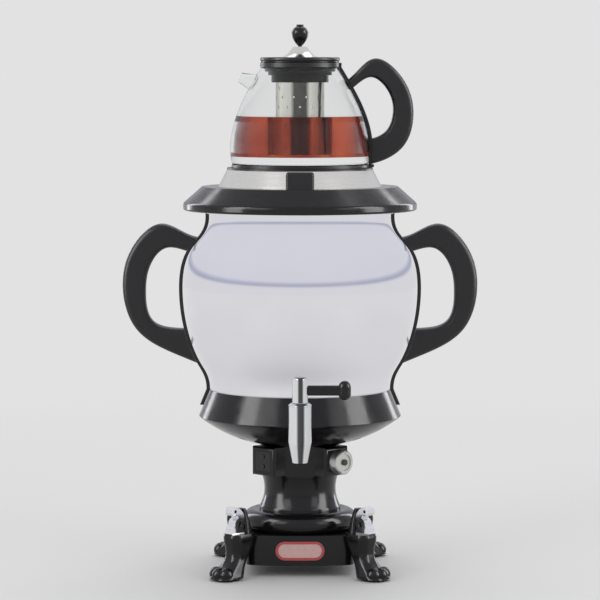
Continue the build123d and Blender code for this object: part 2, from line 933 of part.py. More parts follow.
def thermostat_body():
    """The thermostat behind the right pod's face, bored for its spindle."""
    near = pod_inner_face - thermostat_length
    shape = rod_along(dial_plane, thermostat_radius, near, pod_inner_face)
    bore_near = spindle_near - running_gap
    return shape - rod_along(dial_plane, spindle_radius + running_gap, bore_near, pod_reach)


def thermostat_spindle():
    """The spindle that the dial turns."""
    return rod_along(dial_plane, spindle_radius, spindle_near, spindle_far)


def thermostat_dial():
    """The dished dial with a pointer groove on its face."""
    base = pod_reach + dial_standoff
    face = base + dial_thickness
    shape = rod_along(dial_plane, dial_radius, base, face)
    shape = chamfer(shape.edges().sort_by(dial_axis())[-1], dial_dish_depth)
    shape -= rod_along(dial_plane, dial_dish_radius, face - dial_dish_depth, face)
    groove = Pos(0, (dial_dish_radius + dial_radius) / 2, face) * Box(
        dial_pointer_width, dial_radius - dial_dish_radius, dial_dish_depth
    )
    shape -= dial_plane * groove
    bore_far = spindle_far + running_gap
    return shape - rod_along(dial_plane, spindle_radius + running_gap, base, bore_far)


def dial_axis():
    """The axis that the dial turns about."""
    return Axis(dial_plane.origin, dial_plane.z_dir)


def dial_insert():
    """The dark button in the middle of the dial."""
    seat = pod_reach + dial_standoff + dial_thickness - dial_dish_depth
    return rod_along(dial_plane, dial_insert_radius, seat, seat + dial_insert_height)


# Skirt bowl and tank

shank_z = skirt_top - tap_drop
tap_boss_face = skirt_edge_radius
tap_y = -(tap_boss_face + tap_stand_off)
shank_plane = Plane(origin=(0, 0, shank_z), x_dir=(1, 0, 0), z_dir=(0, -1, 0))
tank_sump_radius = skirt_top_radius - skirt_wall - seat_gap


def tank_screw_planes():
    """Where the three screws that hold the tank down enter, in pockets under the skirt bowl."""
    planes = []
    for degrees in tank_screw_angles:
        x = tank_post_reach * cos(radians(degrees))
        y = tank_post_reach * sin(radians(degrees))
        planes.append(Plane(origin=(x, y, tank_screw_seat), z_dir=UP))
    return planes


funnel_slope = (skirt_funnel_height - skirt_edge_drop) / (skirt_edge_radius - skirt_neck_radius)
post_far_side = tank_post_reach + tank_post_radius
funnel_under_post = column_top + (post_far_side - skirt_neck_radius) * funnel_slope
tank_screw_seat = funnel_under_post + tank_screw_pocket


def sagging(near, far):
    """The bowl's line between two (radius, height) points, sagging below a straight one."""
    middle = ((near[0] + far[0]) / 2, (near[1] + far[1]) / 2 - skirt_sag)
    return ThreePointArc(near, middle, far)


def skirt_bowl():
    """The flared bowl that carries the tank, with three posts and the tap's boss."""
    spigot_radius = column_radius - column_wall - seat_gap
    spigot_low = column_top - skirt_spigot_depth
    bore = spigot_radius - skirt_wall
    floor = column_top + skirt_wall
    neck = (skirt_neck_radius, column_top)
    low_edge = (skirt_edge_radius - skirt_edge_drop, skirt_edge_z - skirt_edge_drop)
    inner_neck = (skirt_neck_radius, floor)
    inner_edge = (skirt_edge_radius - skirt_wall, skirt_edge_z + skirt_wall / 2)
    shape = turned(
        profile(
            Polyline(
                (bore, floor),
                (bore, spigot_low),
                (spigot_radius, spigot_low),
                (spigot_radius, column_top),
                neck,
            ),
            sagging(neck, low_edge),
            Polyline(
                low_edge,
                (skirt_edge_radius, skirt_edge_z),
                (skirt_top_radius, skirt_top),
                (skirt_top_radius - skirt_wall, skirt_top),
                inner_edge,
            ),
            sagging(inner_neck, inner_edge),
            Line(inner_neck, (bore, floor)),
        )
    )
    room_neck = (skirt_neck_radius, column_top + skirt_wall / 2)
    room_edge = (skirt_edge_radius - 2 * skirt_wall, skirt_edge_z)
    inside = turned(
        profile(
            Polyline(room_edge, (0, skirt_edge_z), (0, column_top), room_neck),
            sagging(room_neck, room_edge),
        )
    )
    funnel_room = inside + rod(tank_sump_radius, skirt_edge_z, tank_floor)
    for plane in tank_screw_planes():
        x, y = plane.origin.X, plane.origin.Y
        post = rod(tank_post_radius, column_top, tank_floor, x, y) & funnel_room
        shape += post
        pocket = tank_screw_radius + screw_head_margin + screw_gap
        shape -= rod(pocket, column_top - tank_screw_pocket, tank_screw_seat, x, y)
        shape -= rod(tank_screw_radius + screw_gap, tank_screw_seat, tank_floor, x, y)
    boss = rod_along(shank_plane, tap_boss_radius, skirt_top_radius - skirt_wall, tap_boss_face)
    boss -= rod(tank_sump_radius + seat_gap, column_top, skirt_top)
    shape += boss
    shank_hole = rod_along(
        shank_plane, shank_radius + seat_gap, tank_sump_radius / 2, 2 * tap_boss_face
    )
    return shape - shank_hole


def tank_side(growth=0.0, lift=0.0):
    """The tank's wall above the skirt bowl as one curve, moved out by growth, its foot lifted."""
    return Spline(
        (skirt_top_radius + growth, tank_foot + lift),
        (flare_radius + growth, tank_foot + flare_height),
        (side_radius + growth, tank_foot + side_height),
        (belly_radius + growth, tank_foot + belly_height),
        (shoulder_radius + growth, tank_foot + shoulder_height),
        (neck_radius + growth, tank_top - neck_height),
        tangents=[(0, 1), (0, 1)],
    )


def tank_solid(growth, low, high):
    """Tank and skirt as one filled solid, moved out by growth, between two heights."""
    edge = (skirt_edge_radius + growth, skirt_edge_z)
    rim = (skirt_top_radius + growth, skirt_top)
    foot = (skirt_top_radius + growth, tank_foot)
    neck = (neck_radius + growth, tank_top - neck_height)
    mouth = (neck_radius + growth, tank_top)
    body = turned(
        profile(
            Line((0, skirt_edge_z), edge),
            Line(edge, rim),
            Line(rim, foot),
            tank_side(growth),
            Line(neck, mouth),
            Line(mouth, (0, tank_top)),
            Line((0, tank_top), (0, skirt_edge_z)),
        )
    )
    reach = 2 * belly_radius
    return body & block((-reach, -reach, low), (reach, reach, high))


def tank():
    """The steel tank: floor, sump, belly and rolled rim in one shell."""
    inner_sump = tank_sump_radius - tank_wall
    inner_floor = tank_floor + tank_wall
    ledge = tank_foot + tank_wall
    inner_foot = skirt_top_radius - tank_wall
    inner_neck = neck_radius - tank_wall
    rim_low = tank_top - rim_thickness
    rim_radius = neck_radius + rim_width
    curve_top = tank_top - neck_height
    round_out = tank_sump_round
    round_in = tank_sump_round - tank_wall
    shape = turned(
        profile(
            Line((0, tank_floor), (tank_sump_radius - round_out, tank_floor)),
            RadiusArc(
                (tank_sump_radius - round_out, tank_floor),
                (tank_sump_radius, tank_floor + round_out),
                -round_out,
            ),
            Line((tank_sump_radius, tank_floor + round_out), (tank_sump_radius, tank_foot)),
            Line((tank_sump_radius, tank_foot), (skirt_top_radius, tank_foot)),
            tank_side(),
            Line((neck_radius, curve_top), (neck_radius, rim_low)),
            Line((neck_radius, rim_low), (rim_radius, rim_low)),
            Line((rim_radius, rim_low), (rim_radius, tank_top)),
            Line((rim_radius, tank_top), (inner_neck, tank_top)),
            Line((inner_neck, tank_top), (inner_neck, curve_top)),
            tank_side(-tank_wall, tank_wall),
            Line((inner_foot, ledge), (inner_sump, ledge)),
            Line((inner_sump, ledge), (inner_sump, inner_floor + round_in)),
            RadiusArc(
                (inner_sump, inner_floor + round_in),
                (inner_sump - round_in, inner_floor),
                round_in,
            ),
            Line((inner_sump - round_in, inner_floor), (0, inner_floor)),
            Line((0, inner_floor), (0, tank_floor)),
        )
    )
    shape -= rod_along(
        shank_plane, shank_radius + seat_gap, tank_sump_radius / 2, tap_boss_face
    )
    nut_radius = tank_post_radius - tank_wall
    nut_top = inner_floor + tank_screw_bite
    for plane in tank_screw_planes():
        x, y = plane.origin.X, plane.origin.Y
        shape += rod(nut_radius, inner_floor, nut_top, x, y)
        shape -= rod(tank_screw_radius + screw_gap, tank_floor, nut_top - tank_wall, x, y)
    return shape


def tank_screws():
    """The three screws that hold the tank down on the skirt bowl's posts."""
    length = tank_floor - tank_screw_seat + tank_screw_bite - tank_wall
    return [screw(plane, tank_screw_radius, length) for plane in tank_screw_planes()]


def tank_gasket():
    """The ring between the skirt bowl's rim and the tank's shoulder."""
    outer = skirt_top_radius - 2 * seat_gap
    return tube(outer, tank_sump_radius + seat_gap, skirt_top, tank_foot)


# Heater

plate_bottom = tank_floor - heater_thickness


def heater_element():
    """The open ring element under the plate, with a pin near each end."""
    middle_z = plate_bottom - element_radius - running_gap
    section = Plane.XZ * (Pos(element_ring_radius, middle_z) * Circle(element_radius))
    shape = turned_about_z(revolve(section, Axis.Z, element_turn), -element_turn / 2)
    for side in (-1, 1):
        degrees = side * (element_turn / 2 - element_pin_inset)
        x = element_ring_radius * cos(radians(degrees))
        y = element_ring_radius * sin(radians(degrees))
        shape += rod(element_pin_radius, middle_z - element_pin_length, middle_z, x, y)
    return shape


cutout_bottom = plate_bottom - cutout_height


# Tap

barrel_high = shank_z + barrel_top
barrel_low = shank_z - barrel_bottom
nozzle_low = barrel_low - nozzle_length
plug_low = shank_z - plug_depth
head_low = barrel_high + bonnet_height + plug_play
head_high = head_low + tap_head_height
lever_z = head_high - lever_depth
lever_plane = Plane(origin=(0, tap_y, lever_z), x_dir=(0, 1, 0), z_dir=(1, 0, 0))
nut_face = tank_sump_radius - tank_wall - tap_washer_thickness


def tap_body():
    """Barrel, nozzle, flange and threaded shank, bored for the plug and the water."""
    flange_near = tap_boss_face + tap_washer_thickness
    flange_far = flange_near + tap_flange_thickness
    shank_near = nut_face - tap_nut_thickness - shank_tail
    barrel = revolve(
        outline(
            (0, nozzle_low),
            (nozzle_radius, nozzle_low),
            (barrel_radius, barrel_low),
            (barrel_radius, barrel_high),
            (0, barrel_high),
        ),
        Axis.Z,
    )
    shape = Pos(0, tap_y, 0) * barrel
    shape += rod_along(shank_plane, shank_radius, shank_near, -tap_y)
    shape += rod_along(shank_plane, tap_boss_radius, flange_near, flange_far)
    shape -= rod(plug_radius + running_gap, plug_low - plug_play, barrel_high, 0, tap_y)
    shape -= rod(water_bore_radius, nozzle_low, plug_low, 0, tap_y)
    return shape - rod_along(shank_plane, water_bore_radius, 0, -tap_y)


def tap_washers():
    """The silicone washers outside the boss and inside the tank."""
    hole = shank_radius + seat_gap
    outside_far = tap_boss_face + tap_washer_thickness
    outside = rod_along(shank_plane, tap_boss_radius, tap_boss_face, outside_far)
    outside -= rod_along(shank_plane, hole, 0, 2 * tap_boss_face)
    inner_wall = tank_sump_radius - tank_wall
    inside = rod_along(shank_plane, tap_nut_flats / 2 - running_gap, nut_face, tank_sump_radius)
    inside &= rod(inner_wall, tank_floor, tank_foot)
    inside -= rod_along(shank_plane, hole, 0, 2 * tap_boss_face)
    return [outside, inside]


def tap_nut():
    """The hexagon nut on the shank inside the tank."""
    hexagon = RegularPolygon(tap_nut_flats / 2, 6, major_radius=False)
    nut = extrude(Pos(0, 0, nut_face - tap_nut_thickness) * hexagon, tap_nut_thickness)
    shape = shank_plane * nut
    return shape - rod_along(shank_plane, shank_radius + seat_gap, 0, tap_boss_face)


def tap_bonnet():
    """The bevelled cap that keeps the plug in the barrel."""
    middle = barrel_high + bonnet_height / 3
    high = barrel_high + bonnet_height
    bore = stem_radius + running_gap
    shape = turned(
        outline(
            (bore, barrel_high),
            (barrel_radius, barrel_high),
            (barrel_radius, middle),
            (bonnet_top_radius, high),
            (bore, high),
        )
    )
    return Pos(0, tap_y, 0) * shape


def tap_plug():
    """The turning plug with its angled water way, its stem and the chromed head."""
    plug_high = barrel_high - plug_play
    shape = rod(plug_radius, plug_low, plug_high, 0, tap_y)
    shape += rod(stem_radius, plug_high, head_low, 0, tap_y)
    head = rod(tap_head_radius, head_low, head_high, 0, tap_y)
    head = fillet(head.edges().sort_by(Axis.Z)[-1], tap_head_round)
    shape += head
    shape -= rod(water_bore_radius, plug_low, shank_z, 0, tap_y)
    port_plane = Plane(origin=(0, tap_y, shank_z), x_dir=(0, 1, 0), z_dir=(-1, 0, 0))
    shape -= port_plane * Sphere(water_bore_radius)
    shape -= rod_along(port_plane, water_bore_radius, 0, 2 * plug_radius)
    socket_radius = lever_root_radius + running_gap
    return shape - rod_along(lever_plane, socket_radius, -lever_root_radius, barrel_radius)


def tap_lever():
    """The black lever to the right of the tap, with its upright rounded tip."""
    root_near = running_gap - lever_root_radius
    root = rod_along(lever_plane, lever_root_radius, root_near, tap_head_radius)
    tip_x = lever_reach - lever_tip_radius
    arm_near = tap_head_radius / 2
    arm = slab(lever_width, lever_height, tip_x - arm_near, arm_near)
    arm = fillet(arm.edges().filter_by(Axis.Z), lever_width / 3)
    shape = lever_plane * arm
    shape -= rod(tap_head_radius + seat_gap, head_low, head_high, 0, tap_y)
    stick = lever_tip_height / 2 - lever_tip_radius
    tip = rod(lever_tip_radius, lever_z - stick, lever_z + stick, tip_x, tap_y)
    for end in (-stick, stick):
        tip += Pos(tip_x, tap_y, lever_z + end) * Sphere(lever_tip_radius)
    return shape + tip + root


# Side straps and handles

strap_top = tank_top - rim_thickness - strap_top_gap
strap_low = tank_foot - strap_skirt_reach
strap_face = seat_gap + strap_thickness


def strap():
    """The strip down the +X side of the tank and over the top of the skirt bowl."""
    shape = tank_solid(strap_face, strap_low, strap_top)
    half = strap_width / 2
    shape &= block((0, -half, strap_low), (2 * belly_radius, half, strap_top))
    shape -= tank_solid(seat_gap, skirt_edge_z, tank_top)
    hole = handle_stud_radius + screw_gap
    for plane in handle_stud_planes():
        shape -= rod_along(plane, hole, -handle_stud_length, handle_stud_length)
    return shape


def handle_stud_planes():
    """Where a handle's two studs stand on the tank, pointing along +X."""
    planes = []
    for height in (handle_lower_stud_height, handle_upper_stud_height):
        seat = tank_radius_at(height)
        planes.append(Plane(origin=(seat, 0, tank_foot + height), x_dir=UP, z_dir=(1, 0, 0)))
    return planes


def tank_radius_at(height):
    """The tank's outer radius at a height above its foot."""
    level = Line((0, tank_foot + height), (2 * belly_radius, tank_foot + height))
    return (tank_side() & level).vertices()[0].X


def moved(points, radius, height):
    """The (radius, height) points moved out and up."""
    return [(radius + x, height + z) for x, z in points]


def handle():
    """The +X side handle, its ends cut to the strap."""
    outer = moved(handle_outer_line, belly_radius, tank_foot)
    inner = moved(handle_inner_line, belly_radius, tank_foot)
    shape = extrude(loop_face(outer, inner), handle_thickness / 2, both=True)
    rims = shape.faces().filter_by(Axis.Y).edges().filter_by(GeomType.BSPLINE)
    shape = fillet(rims, handle_round)
    shape -= tank_solid(strap_face + seat_gap, skirt_edge_z, tank_top)
    hole = handle_stud_radius + screw_gap
    hole_depth = handle_stud_length + screw_gap
    for plane in handle_stud_planes():
        shape -= rod_along(plane, hole, -handle_stud_radius, hole_depth)
    return shape


def handle_studs():
    """Two studs on each side of the tank, through the strap into the handle."""
    studs = []
    wall = tank_solid(running_gap, skirt_edge_z, tank_top)
    for plane in handle_stud_planes():
        stud = rod_along(plane, handle_stud_radius, -handle_stud_radius, handle_stud_length) - wall
        studs += [turned_about_z(stud, degrees) for degrees in side_angles.values()]
    return studs


# Lid and tray


def widest_edges(shape):
    """The two widest round edges of a turned shape, the lower one first."""
    circles = shape.edges().filter_by(GeomType.CIRCLE).sort_by(SortBy.RADIUS)
    return circles[-2:].sort_by(Axis.Z)


def lid_collar():
    """The black collar of the lid, hollow and open below."""
    band_top = lid_bottom + collar_band_height
    inner = collar_radius - collar_wall
    under = collar_top - collar_wall
    shape = turned(
        outline(
            (inner, lid_bottom),
            (collar_radius, lid_bottom),
            (collar_radius, band_top),
            (collar_top_radius, collar_top),
            (collar_hole_radius, collar_top),
            (collar_hole_radius, under),
            (collar_top_radius - collar_wall / 2, under),
            (inner, band_top - collar_wall / 2),
        )
    )
    shape = fillet(widest_edges(shape)[1], collar_shoulder_round)
    return fillet(widest_edges(shape)[0], collar_edge_round)


def lid_plate():
    """The steel plate inside the collar."""
    radius = collar_radius - collar_wall - seat_gap
    return tube(radius, steam_hole_radius, lid_bottom, lid_bottom + lid_plate_thickness)


def lid_seal():
    """The silicone seal that stands in the tank's mouth."""
    outer = neck_radius - tank_wall - lift_gap
    return turned(
        outline(
            (outer - seal_width, lid_bottom - seal_depth),
            (outer, lid_bottom - seal_depth),
            (outer, tank_top),
            (neck_radius + rim_width, tank_top),
            (neck_radius + rim_width, lid_bottom),
            (outer - seal_width, lid_bottom),
        )
    )


def tray():
    """The steel tray with its sloping side, raised deck and steam vents."""
    deck_radius = tray_top_radius - tray_deck_inset
    inner_deck = deck_radius - tray_sheet
    shape = turned(
        outline(
            (tray_foot_radius, collar_top),
            (tray_top_radius, tray_shoulder),
            (deck_radius, tray_shoulder),
            (deck_radius, tray_deck),
            (0, tray_deck),
            (0, tray_deck - tray_sheet),
            (inner_deck, tray_deck - tray_sheet),
            (inner_deck, tray_shoulder - tray_sheet),
            (tray_top_radius - tray_sheet, tray_shoulder - tray_sheet),
            (tray_foot_radius - tray_sheet, collar_top),
        )
    )
    vent = rod(tray_vent_radius, tray_shoulder - tray_sheet, tray_deck, tray_vent_circle)
    for hole in around(vent, tray_vent_count):
        shape -= hole
    return shape


def tray_rim():
    """The black ring that keeps the teapot in the middle."""
    inner = pot_ring_radius + lift_gap
    shape = tube(tray_top_radius, inner, tray_shoulder, tray_shoulder + tray_rim_height)
    outer_edge = shape.edges().group_by(Axis.Z)[-1].sort_by(SortBy.RADIUS)[-1]
    return fillet(outer_edge, tray_rim_height / 3)


def tray_grip():
    """The black block at the front of the tray."""
    half = grip_width / 2
    grip_top = collar_top + grip_height
    shape = block((-half, -grip_reach, collar_top), (half, -tray_top_radius, grip_top))
    shape = fillet(shape.edges().filter_by(Axis.X).group_by(Axis.Z)[-1], grip_round)
    shape = fillet(shape.edges().filter_by(Axis.Z).sort_by(Axis.Y)[:2], grip_round)
    side = turned(
        outline(
            (0, collar_top),
            (tray_foot_radius + seat_gap, collar_top),
            (tray_top_radius + seat_gap, tray_shoulder),
            (tray_top_radius + seat_gap, tray_deck),
            (0, tray_deck),
        )
    )
    return shape - side


# Teapot


def glass_side(growth=0.0):
    """The outside of the glass from its heel to its rim, moved out by growth."""
    base = glass_bottom
    return Spline(
        (glass_heel_radius + growth, base + glass_heel_round),
        (glass_widest_radius + growth, base + glass_widest_height),
        (glass_cheek_radius + growth, base + glass_cheek_height),
        (glass_slope_radius + growth, base + glass_slope_height),
        (glass_rim_radius + growth, base + glass_height),
    )


def glass_solid(growth, low):
    """The filled outside of the glass, moved out by growth, from a low height to the rim."""
    heel = glass_bottom + glass_heel_round
    return turned(
        profile(
            Line((0, low), (glass_heel_radius + growth, low)),
            Line((glass_heel_radius + growth, low), (glass_heel_radius + growth, heel)),
            glass_side(growth),
            Line((glass_rim_radius + growth, glass_top), (0, glass_top)),
            Line((0, glass_top), (0, low)),
        )
    )


def beak(growth):
    """The pouring beak's horn toward -X, moved out by growth."""
    run = beak_mouth_reach - beak_root_reach
    rise = beak_mouth_height - beak_root_height
    length = sqrt(run**2 + rise**2)
    start = (-beak_root_reach, 0, glass_bottom + beak_root_height)
    plane = Plane(origin=start, x_dir=(0, 1, 0), z_dir=(-run, 0, rise))
    sections = [
        Pos(0, 0, share * length) * Circle(radius + growth)
        for share, radius in (
            (0.0, beak_root_radius),
            (beak_waist_share, beak_waist_radius),
            (1.0, beak_mouth_radius),
        )
    ]
    return plane * loft(sections)


def glass_with_round_heel():
    """The filled outside of the glass with its heel rounded."""
    heel = (glass_heel_radius, glass_bottom + glass_heel_round)
    sole = (glass_heel_radius - glass_heel_round, glass_bottom)
    return turned(
        profile(
            Line((0, glass_bottom), sole),
            RadiusArc(sole, heel, -glass_heel_round),
            glass_side(),
            Line((glass_rim_radius, glass_top), (0, glass_top)),
            Line((0, glass_top), (0, glass_bottom)),
        )
    )


def pot_glass():
    """The glass body, thick at the foot, with its beak."""
    high = 2 * pot_ring_radius
    outer = glass_with_round_heel() + beak(0.0)
    heel = glass_bottom + glass_floor
    inner = glass_solid(-glass_thickness, glass_bottom)
    inner += beak(-glass_thickness)
    inner &= block((-high, -high, heel), (high, high, glass_top + high))
    return outer - inner - block((-high, -high, glass_top), (high, high, glass_top + high))


def pot_base_ring():
    """The black ring under the glass, with the lug that carries the strap."""
    ring = tube(pot_ring_radius, pot_ring_radius - pot_ring_width, tray_deck, glass_bottom)
    half = pot_lug_width / 2
    low = (pot_ring_radius - pot_ring_width / 2, -half, glass_bottom - pot_lug_thickness)
    return ring + block(low, (pot_lug_reach, half, glass_bottom))


def pot_screw_planes():
    """Where the two screws of the teapot's handle enter its strap from the glass side."""
    planes = []
    for height in (pot_lower_screw_height, pot_upper_screw_height):
        level_z = glass_bottom + height
        level = Line((0, level_z), (2 * pot_ring_radius, level_z))
        radius = (glass_side(seat_gap) & level).vertices()[0].X
        planes.append(Plane(origin=(radius + seat_gap, 0, level_z), x_dir=UP, z_dir=(1, 0, 0)))
    return planes


def pot_neck_ring():
    """The black ring on the glass's rim and the strap that runs down to the foot lug."""
    spigot = glass_rim_radius - glass_thickness - seat_gap
    ring = turned(
        outline(
            (neck_ring_bore, glass_top - neck_ring_spigot),
            (spigot - neck_ring_taper, glass_top - neck_ring_spigot),
            (spigot, glass_top),
            (neck_ring_radius, glass_top),
            (neck_ring_radius, neck_ring_top),
            (neck_ring_bore, neck_ring_top),
        )
    )
    face = seat_gap + pot_strap_thickness
    half = pot_strap_width / 2
    strip = glass_solid(face, glass_bottom) - glass_solid(seat_gap, tray_deck)
    root_inner = neck_ring_radius - neck_ring_bond
    strip += tube(glass_rim_radius + face, root_inner, glass_top, neck_ring_top)
    strip &= block((0, -half, glass_bottom), (2 * pot_ring_radius, half, neck_ring_top))
    shape = ring + strip
    hole = pot_screw_radius + screw_gap
    for plane in pot_screw_planes():
        shape -= rod_along(plane, hole, -pot_screw_radius, pot_screw_length)
    return shape


def pot_handle():
    """The teapot's handle on the +X side, its ends cut to the strap."""
    outer = moved(pot_handle_outer_line, glass_rim_radius, glass_bottom)
    inner = moved(pot_handle_inner_line, glass_rim_radius, glass_bottom)
    shape = extrude(loop_face(outer, inner), pot_handle_thickness / 2, both=True)
    rims = shape.faces().filter_by(Axis.Y).edges().filter_by(GeomType.BSPLINE)
    shape = fillet(rims, pot_handle_round)
    face = 2 * seat_gap + pot_strap_thickness
    shape -= glass_solid(face, glass_bottom - glass_height)
    hole = pot_screw_radius + screw_gap
    for plane in pot_screw_planes():
        shape -= rod_along(plane, hole, 0, pot_screw_length + screw_gap)
    return shape


def pot_handle_screws():
    """The two screws that hold the teapot's handle to its strap."""
    glass = glass_solid(seat_gap, glass_bottom)
    planes = pot_screw_planes()
    return [rod_along(plane, pot_screw_radius, 0, pot_screw_length) - glass for plane in planes]


# Infuser and teapot lid

ledge_z = neck_ring_top - infuser_step_height - infuser_waist_height + basket_ledge
infuser_bore = basket_radius + basket_flange + 2 * seat_gap


def infuser_collar():
    """The stepped black collar that hangs the basket in the glass."""
    waist_top = neck_ring_top - infuser_step_height
    waist_low = waist_top - infuser_waist_height
    hole = basket_radius + seat_gap
    return turned(
        outline(
            (hole, waist_low),
            (infuser_waist_radius, waist_low),
            (infuser_waist_radius, waist_top),
            (infuser_step_radius, waist_top),
            (infuser_step_radius, neck_ring_top),
            (infuser_flange_radius, neck_ring_top),
            (infuser_flange_radius, pot_lid_bottom),
            (infuser_bore, pot_lid_bottom),
            (infuser_bore, ledge_z),
            (hole, ledge_z),
        )
    )


def infuser_basket():
    """The perforated steel basket."""
    low = glass_bottom + glass_floor + basket_floor_gap
    inner = basket_radius - basket_sheet
    shape = rod(basket_radius, low, ledge_z)
    shape += rod(basket_radius + basket_flange, ledge_z, ledge_z + basket_sheet)
    shape -= rod(inner, low + basket_sheet, ledge_z + basket_sheet)
    holes = []
    for row in range(basket_hole_rows):
        height = low + basket_first_hole_rise + basket_hole_pitch * row
        plane = Plane(origin=(0, 0, height), x_dir=UP, z_dir=(1, 0, 0))
        hole = rod_along(plane, basket_hole_radius, inner / 2, 2 * basket_radius)
        offset_turn = 180.0 / basket_hole_columns * (row % 2)
        holes += around(hole, basket_hole_columns, offset_turn)
    return shape - holes


def pot_lid():
    """The teapot's black lid with the plug that fits the infuser's collar."""
    disc = rod(neck_ring_radius, pot_lid_bottom, pot_lid_top)
    disc = fillet(disc.edges().filter_by(GeomType.CIRCLE), pot_lid_round)
    plug = infuser_bore - lift_gap
    plug_bottom = pot_lid_bottom - pot_lid_plug_height
    shape = disc + rod(plug, plug_bottom, pot_lid_bottom + pot_lid_round)
    stud_low = cap_top - finial_stud_length
    return shape - rod(finial_stud_radius + screw_gap, stud_low - screw_gap, pot_lid_top)


def lid_cap():
    """The hollow-sided steel cone on the teapot's lid."""
    side = Spline(
        (cap_radius, pot_lid_top),
        (cap_middle_radius, pot_lid_top + cap_middle_height),
        (cap_top_radius, cap_top),
    )
    bore = finial_stud_radius + screw_gap
    return turned(
        profile(
            Line((bore, pot_lid_top), (cap_radius, pot_lid_top)),
            side,
            Line((cap_top_radius, cap_top), (bore, cap_top)),
            Line((bore, cap_top), (bore, pot_lid_top)),
        )
    )


def finial():
    """The acorn finial with its crown of beads, on its stud."""
    neck_top = cap_top + finial_neck_height
    widest = cap_top + finial_wide_height
    shoulder = cap_top + finial_height
    upper_middle = (widest + shoulder) / 2 + finial_shoulder_rise
    acorn = turned(
        profile(
            Line((0, cap_top), (finial_neck_radius, cap_top)),
            Line((finial_neck_radius, cap_top), (finial_neck_radius, neck_top)),
            ThreePointArc(
                (finial_neck_radius, neck_top),
                (finial_cheek_share * finial_radius, (neck_top + widest) / 2),
                (finial_radius, widest),
            ),
            ThreePointArc(
                (finial_radius, widest),
                (finial_shoulder_share * finial_radius, upper_middle),
                (crown_radius, shoulder),
            ),
            Line((crown_radius, shoulder), (crown_radius, shoulder + crown_height)),
            Line((crown_radius, shoulder + crown_height), (0, shoulder + crown_height)),
            Line((0, shoulder + crown_height), (0, cap_top)),
        )
    )
    bead = Pos(crown_radius, 0, shoulder + crown_height) * Sphere(crown_bead_radius)
    shape = acorn + around(bead, crown_bead_count)
    return shape + rod(finial_stud_radius, cap_top - finial_stud_length, cap_top)


# Writing the pieces


def write(name, shape):
    """Writes one piece, or a group of like pieces, to its own file."""
    pieces = shape if isinstance(shape, list) else [shape]
    solids = [Solid(piece.solid().wrapped) for piece in pieces]
    export_step(Compound(label=name, children=solids), f"parts/{name}.step")


def main():
    os.makedirs("parts", exist_ok=True)
    pad = rod(pad_radius, 0, pad_height, foot_reach)
    write("foot_pads", [turned_about_z(pad, degrees) for degrees in corner_angles.values()])
    for name, degrees in corner_angles.items():
        write(f"leg_{name}", turned_about_z(leg(name in front_angles), degrees))
    write("corner_scrolls", [turned_about_z(scroll(), turn) for turn in front_angles.values()])
    write("plinth", plinth())
    write("plinth_cover", plinth_cover())
    write("base_screws", base_screws())
    write("badge_bezel", badge_bezel())
    write("badge_plate", badge_plate())
    write("mains_inlet", mains_inlet())
    write("inlet_pins", inlet_pins())
    write("power_board", power_board())
    write("wiring_loom", rod(loom_radius, loom_low, cutout_bottom))
    write("base_bead", base_bead())
    write("tie_bolts", tie_bolts())
    write("column", column())
    write("indicator_panel", indicator_panel())
    write("indicator_lamps", indicator_lamps())
    write("indicator_board", indicator_board())
    write("thermostat_body", thermostat_body())
    write("thermostat_spindle", thermostat_spindle())
    write("thermostat_dial", thermostat_dial())
    write("dial_insert", dial_insert())
    write("skirt_bowl", skirt_bowl())
    write("tank_gasket", tank_gasket())
    write("tank", tank())
    write("tank_screws", tank_screws())
    write("heater_plate", rod(heater_radius, plate_bottom, tank_floor))
    write("heater_element", heater_element())
    write("boil_dry_cutout", rod(cutout_radius, cutout_bottom, plate_bottom))
    write("tap_body", tap_body())
    write("tap_washers", tap_washers())
    write("tap_nut", tap_nut())
    write("tap_bonnet", tap_bonnet())
    write("tap_plug", tap_plug())
    write("tap_lever", tap_lever())
    for name, degrees in side_angles.items():
        write(f"strap_{name}", turned_about_z(strap(), degrees))
        write(f"handle_{name}", turned_about_z(handle(), degrees))
    write("handle_studs", handle_studs())
    write("lid_collar", lid_collar())
    write("lid_plate", lid_plate())
    write("lid_seal", lid_seal())
    write("tray", tray())
    write("tray_rim", tray_rim())
    write("tray_grip", tray_grip())
    write("pot_base_ring", pot_base_ring())
    write("pot_glass", pot_glass())
    write("pot_neck_ring", pot_neck_ring())
    write("pot_handle", pot_handle())
    write("pot_handle_screws", pot_handle_screws())
    write("infuser_collar", infuser_collar())
    write("infuser_basket", infuser_basket())
    write("pot_lid", pot_lid())
    write("lid_cap", lid_cap())
    write("finial", finial())


main()
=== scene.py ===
import json
import math

import bmesh
import bpy
from mathutils import Matrix, Vector

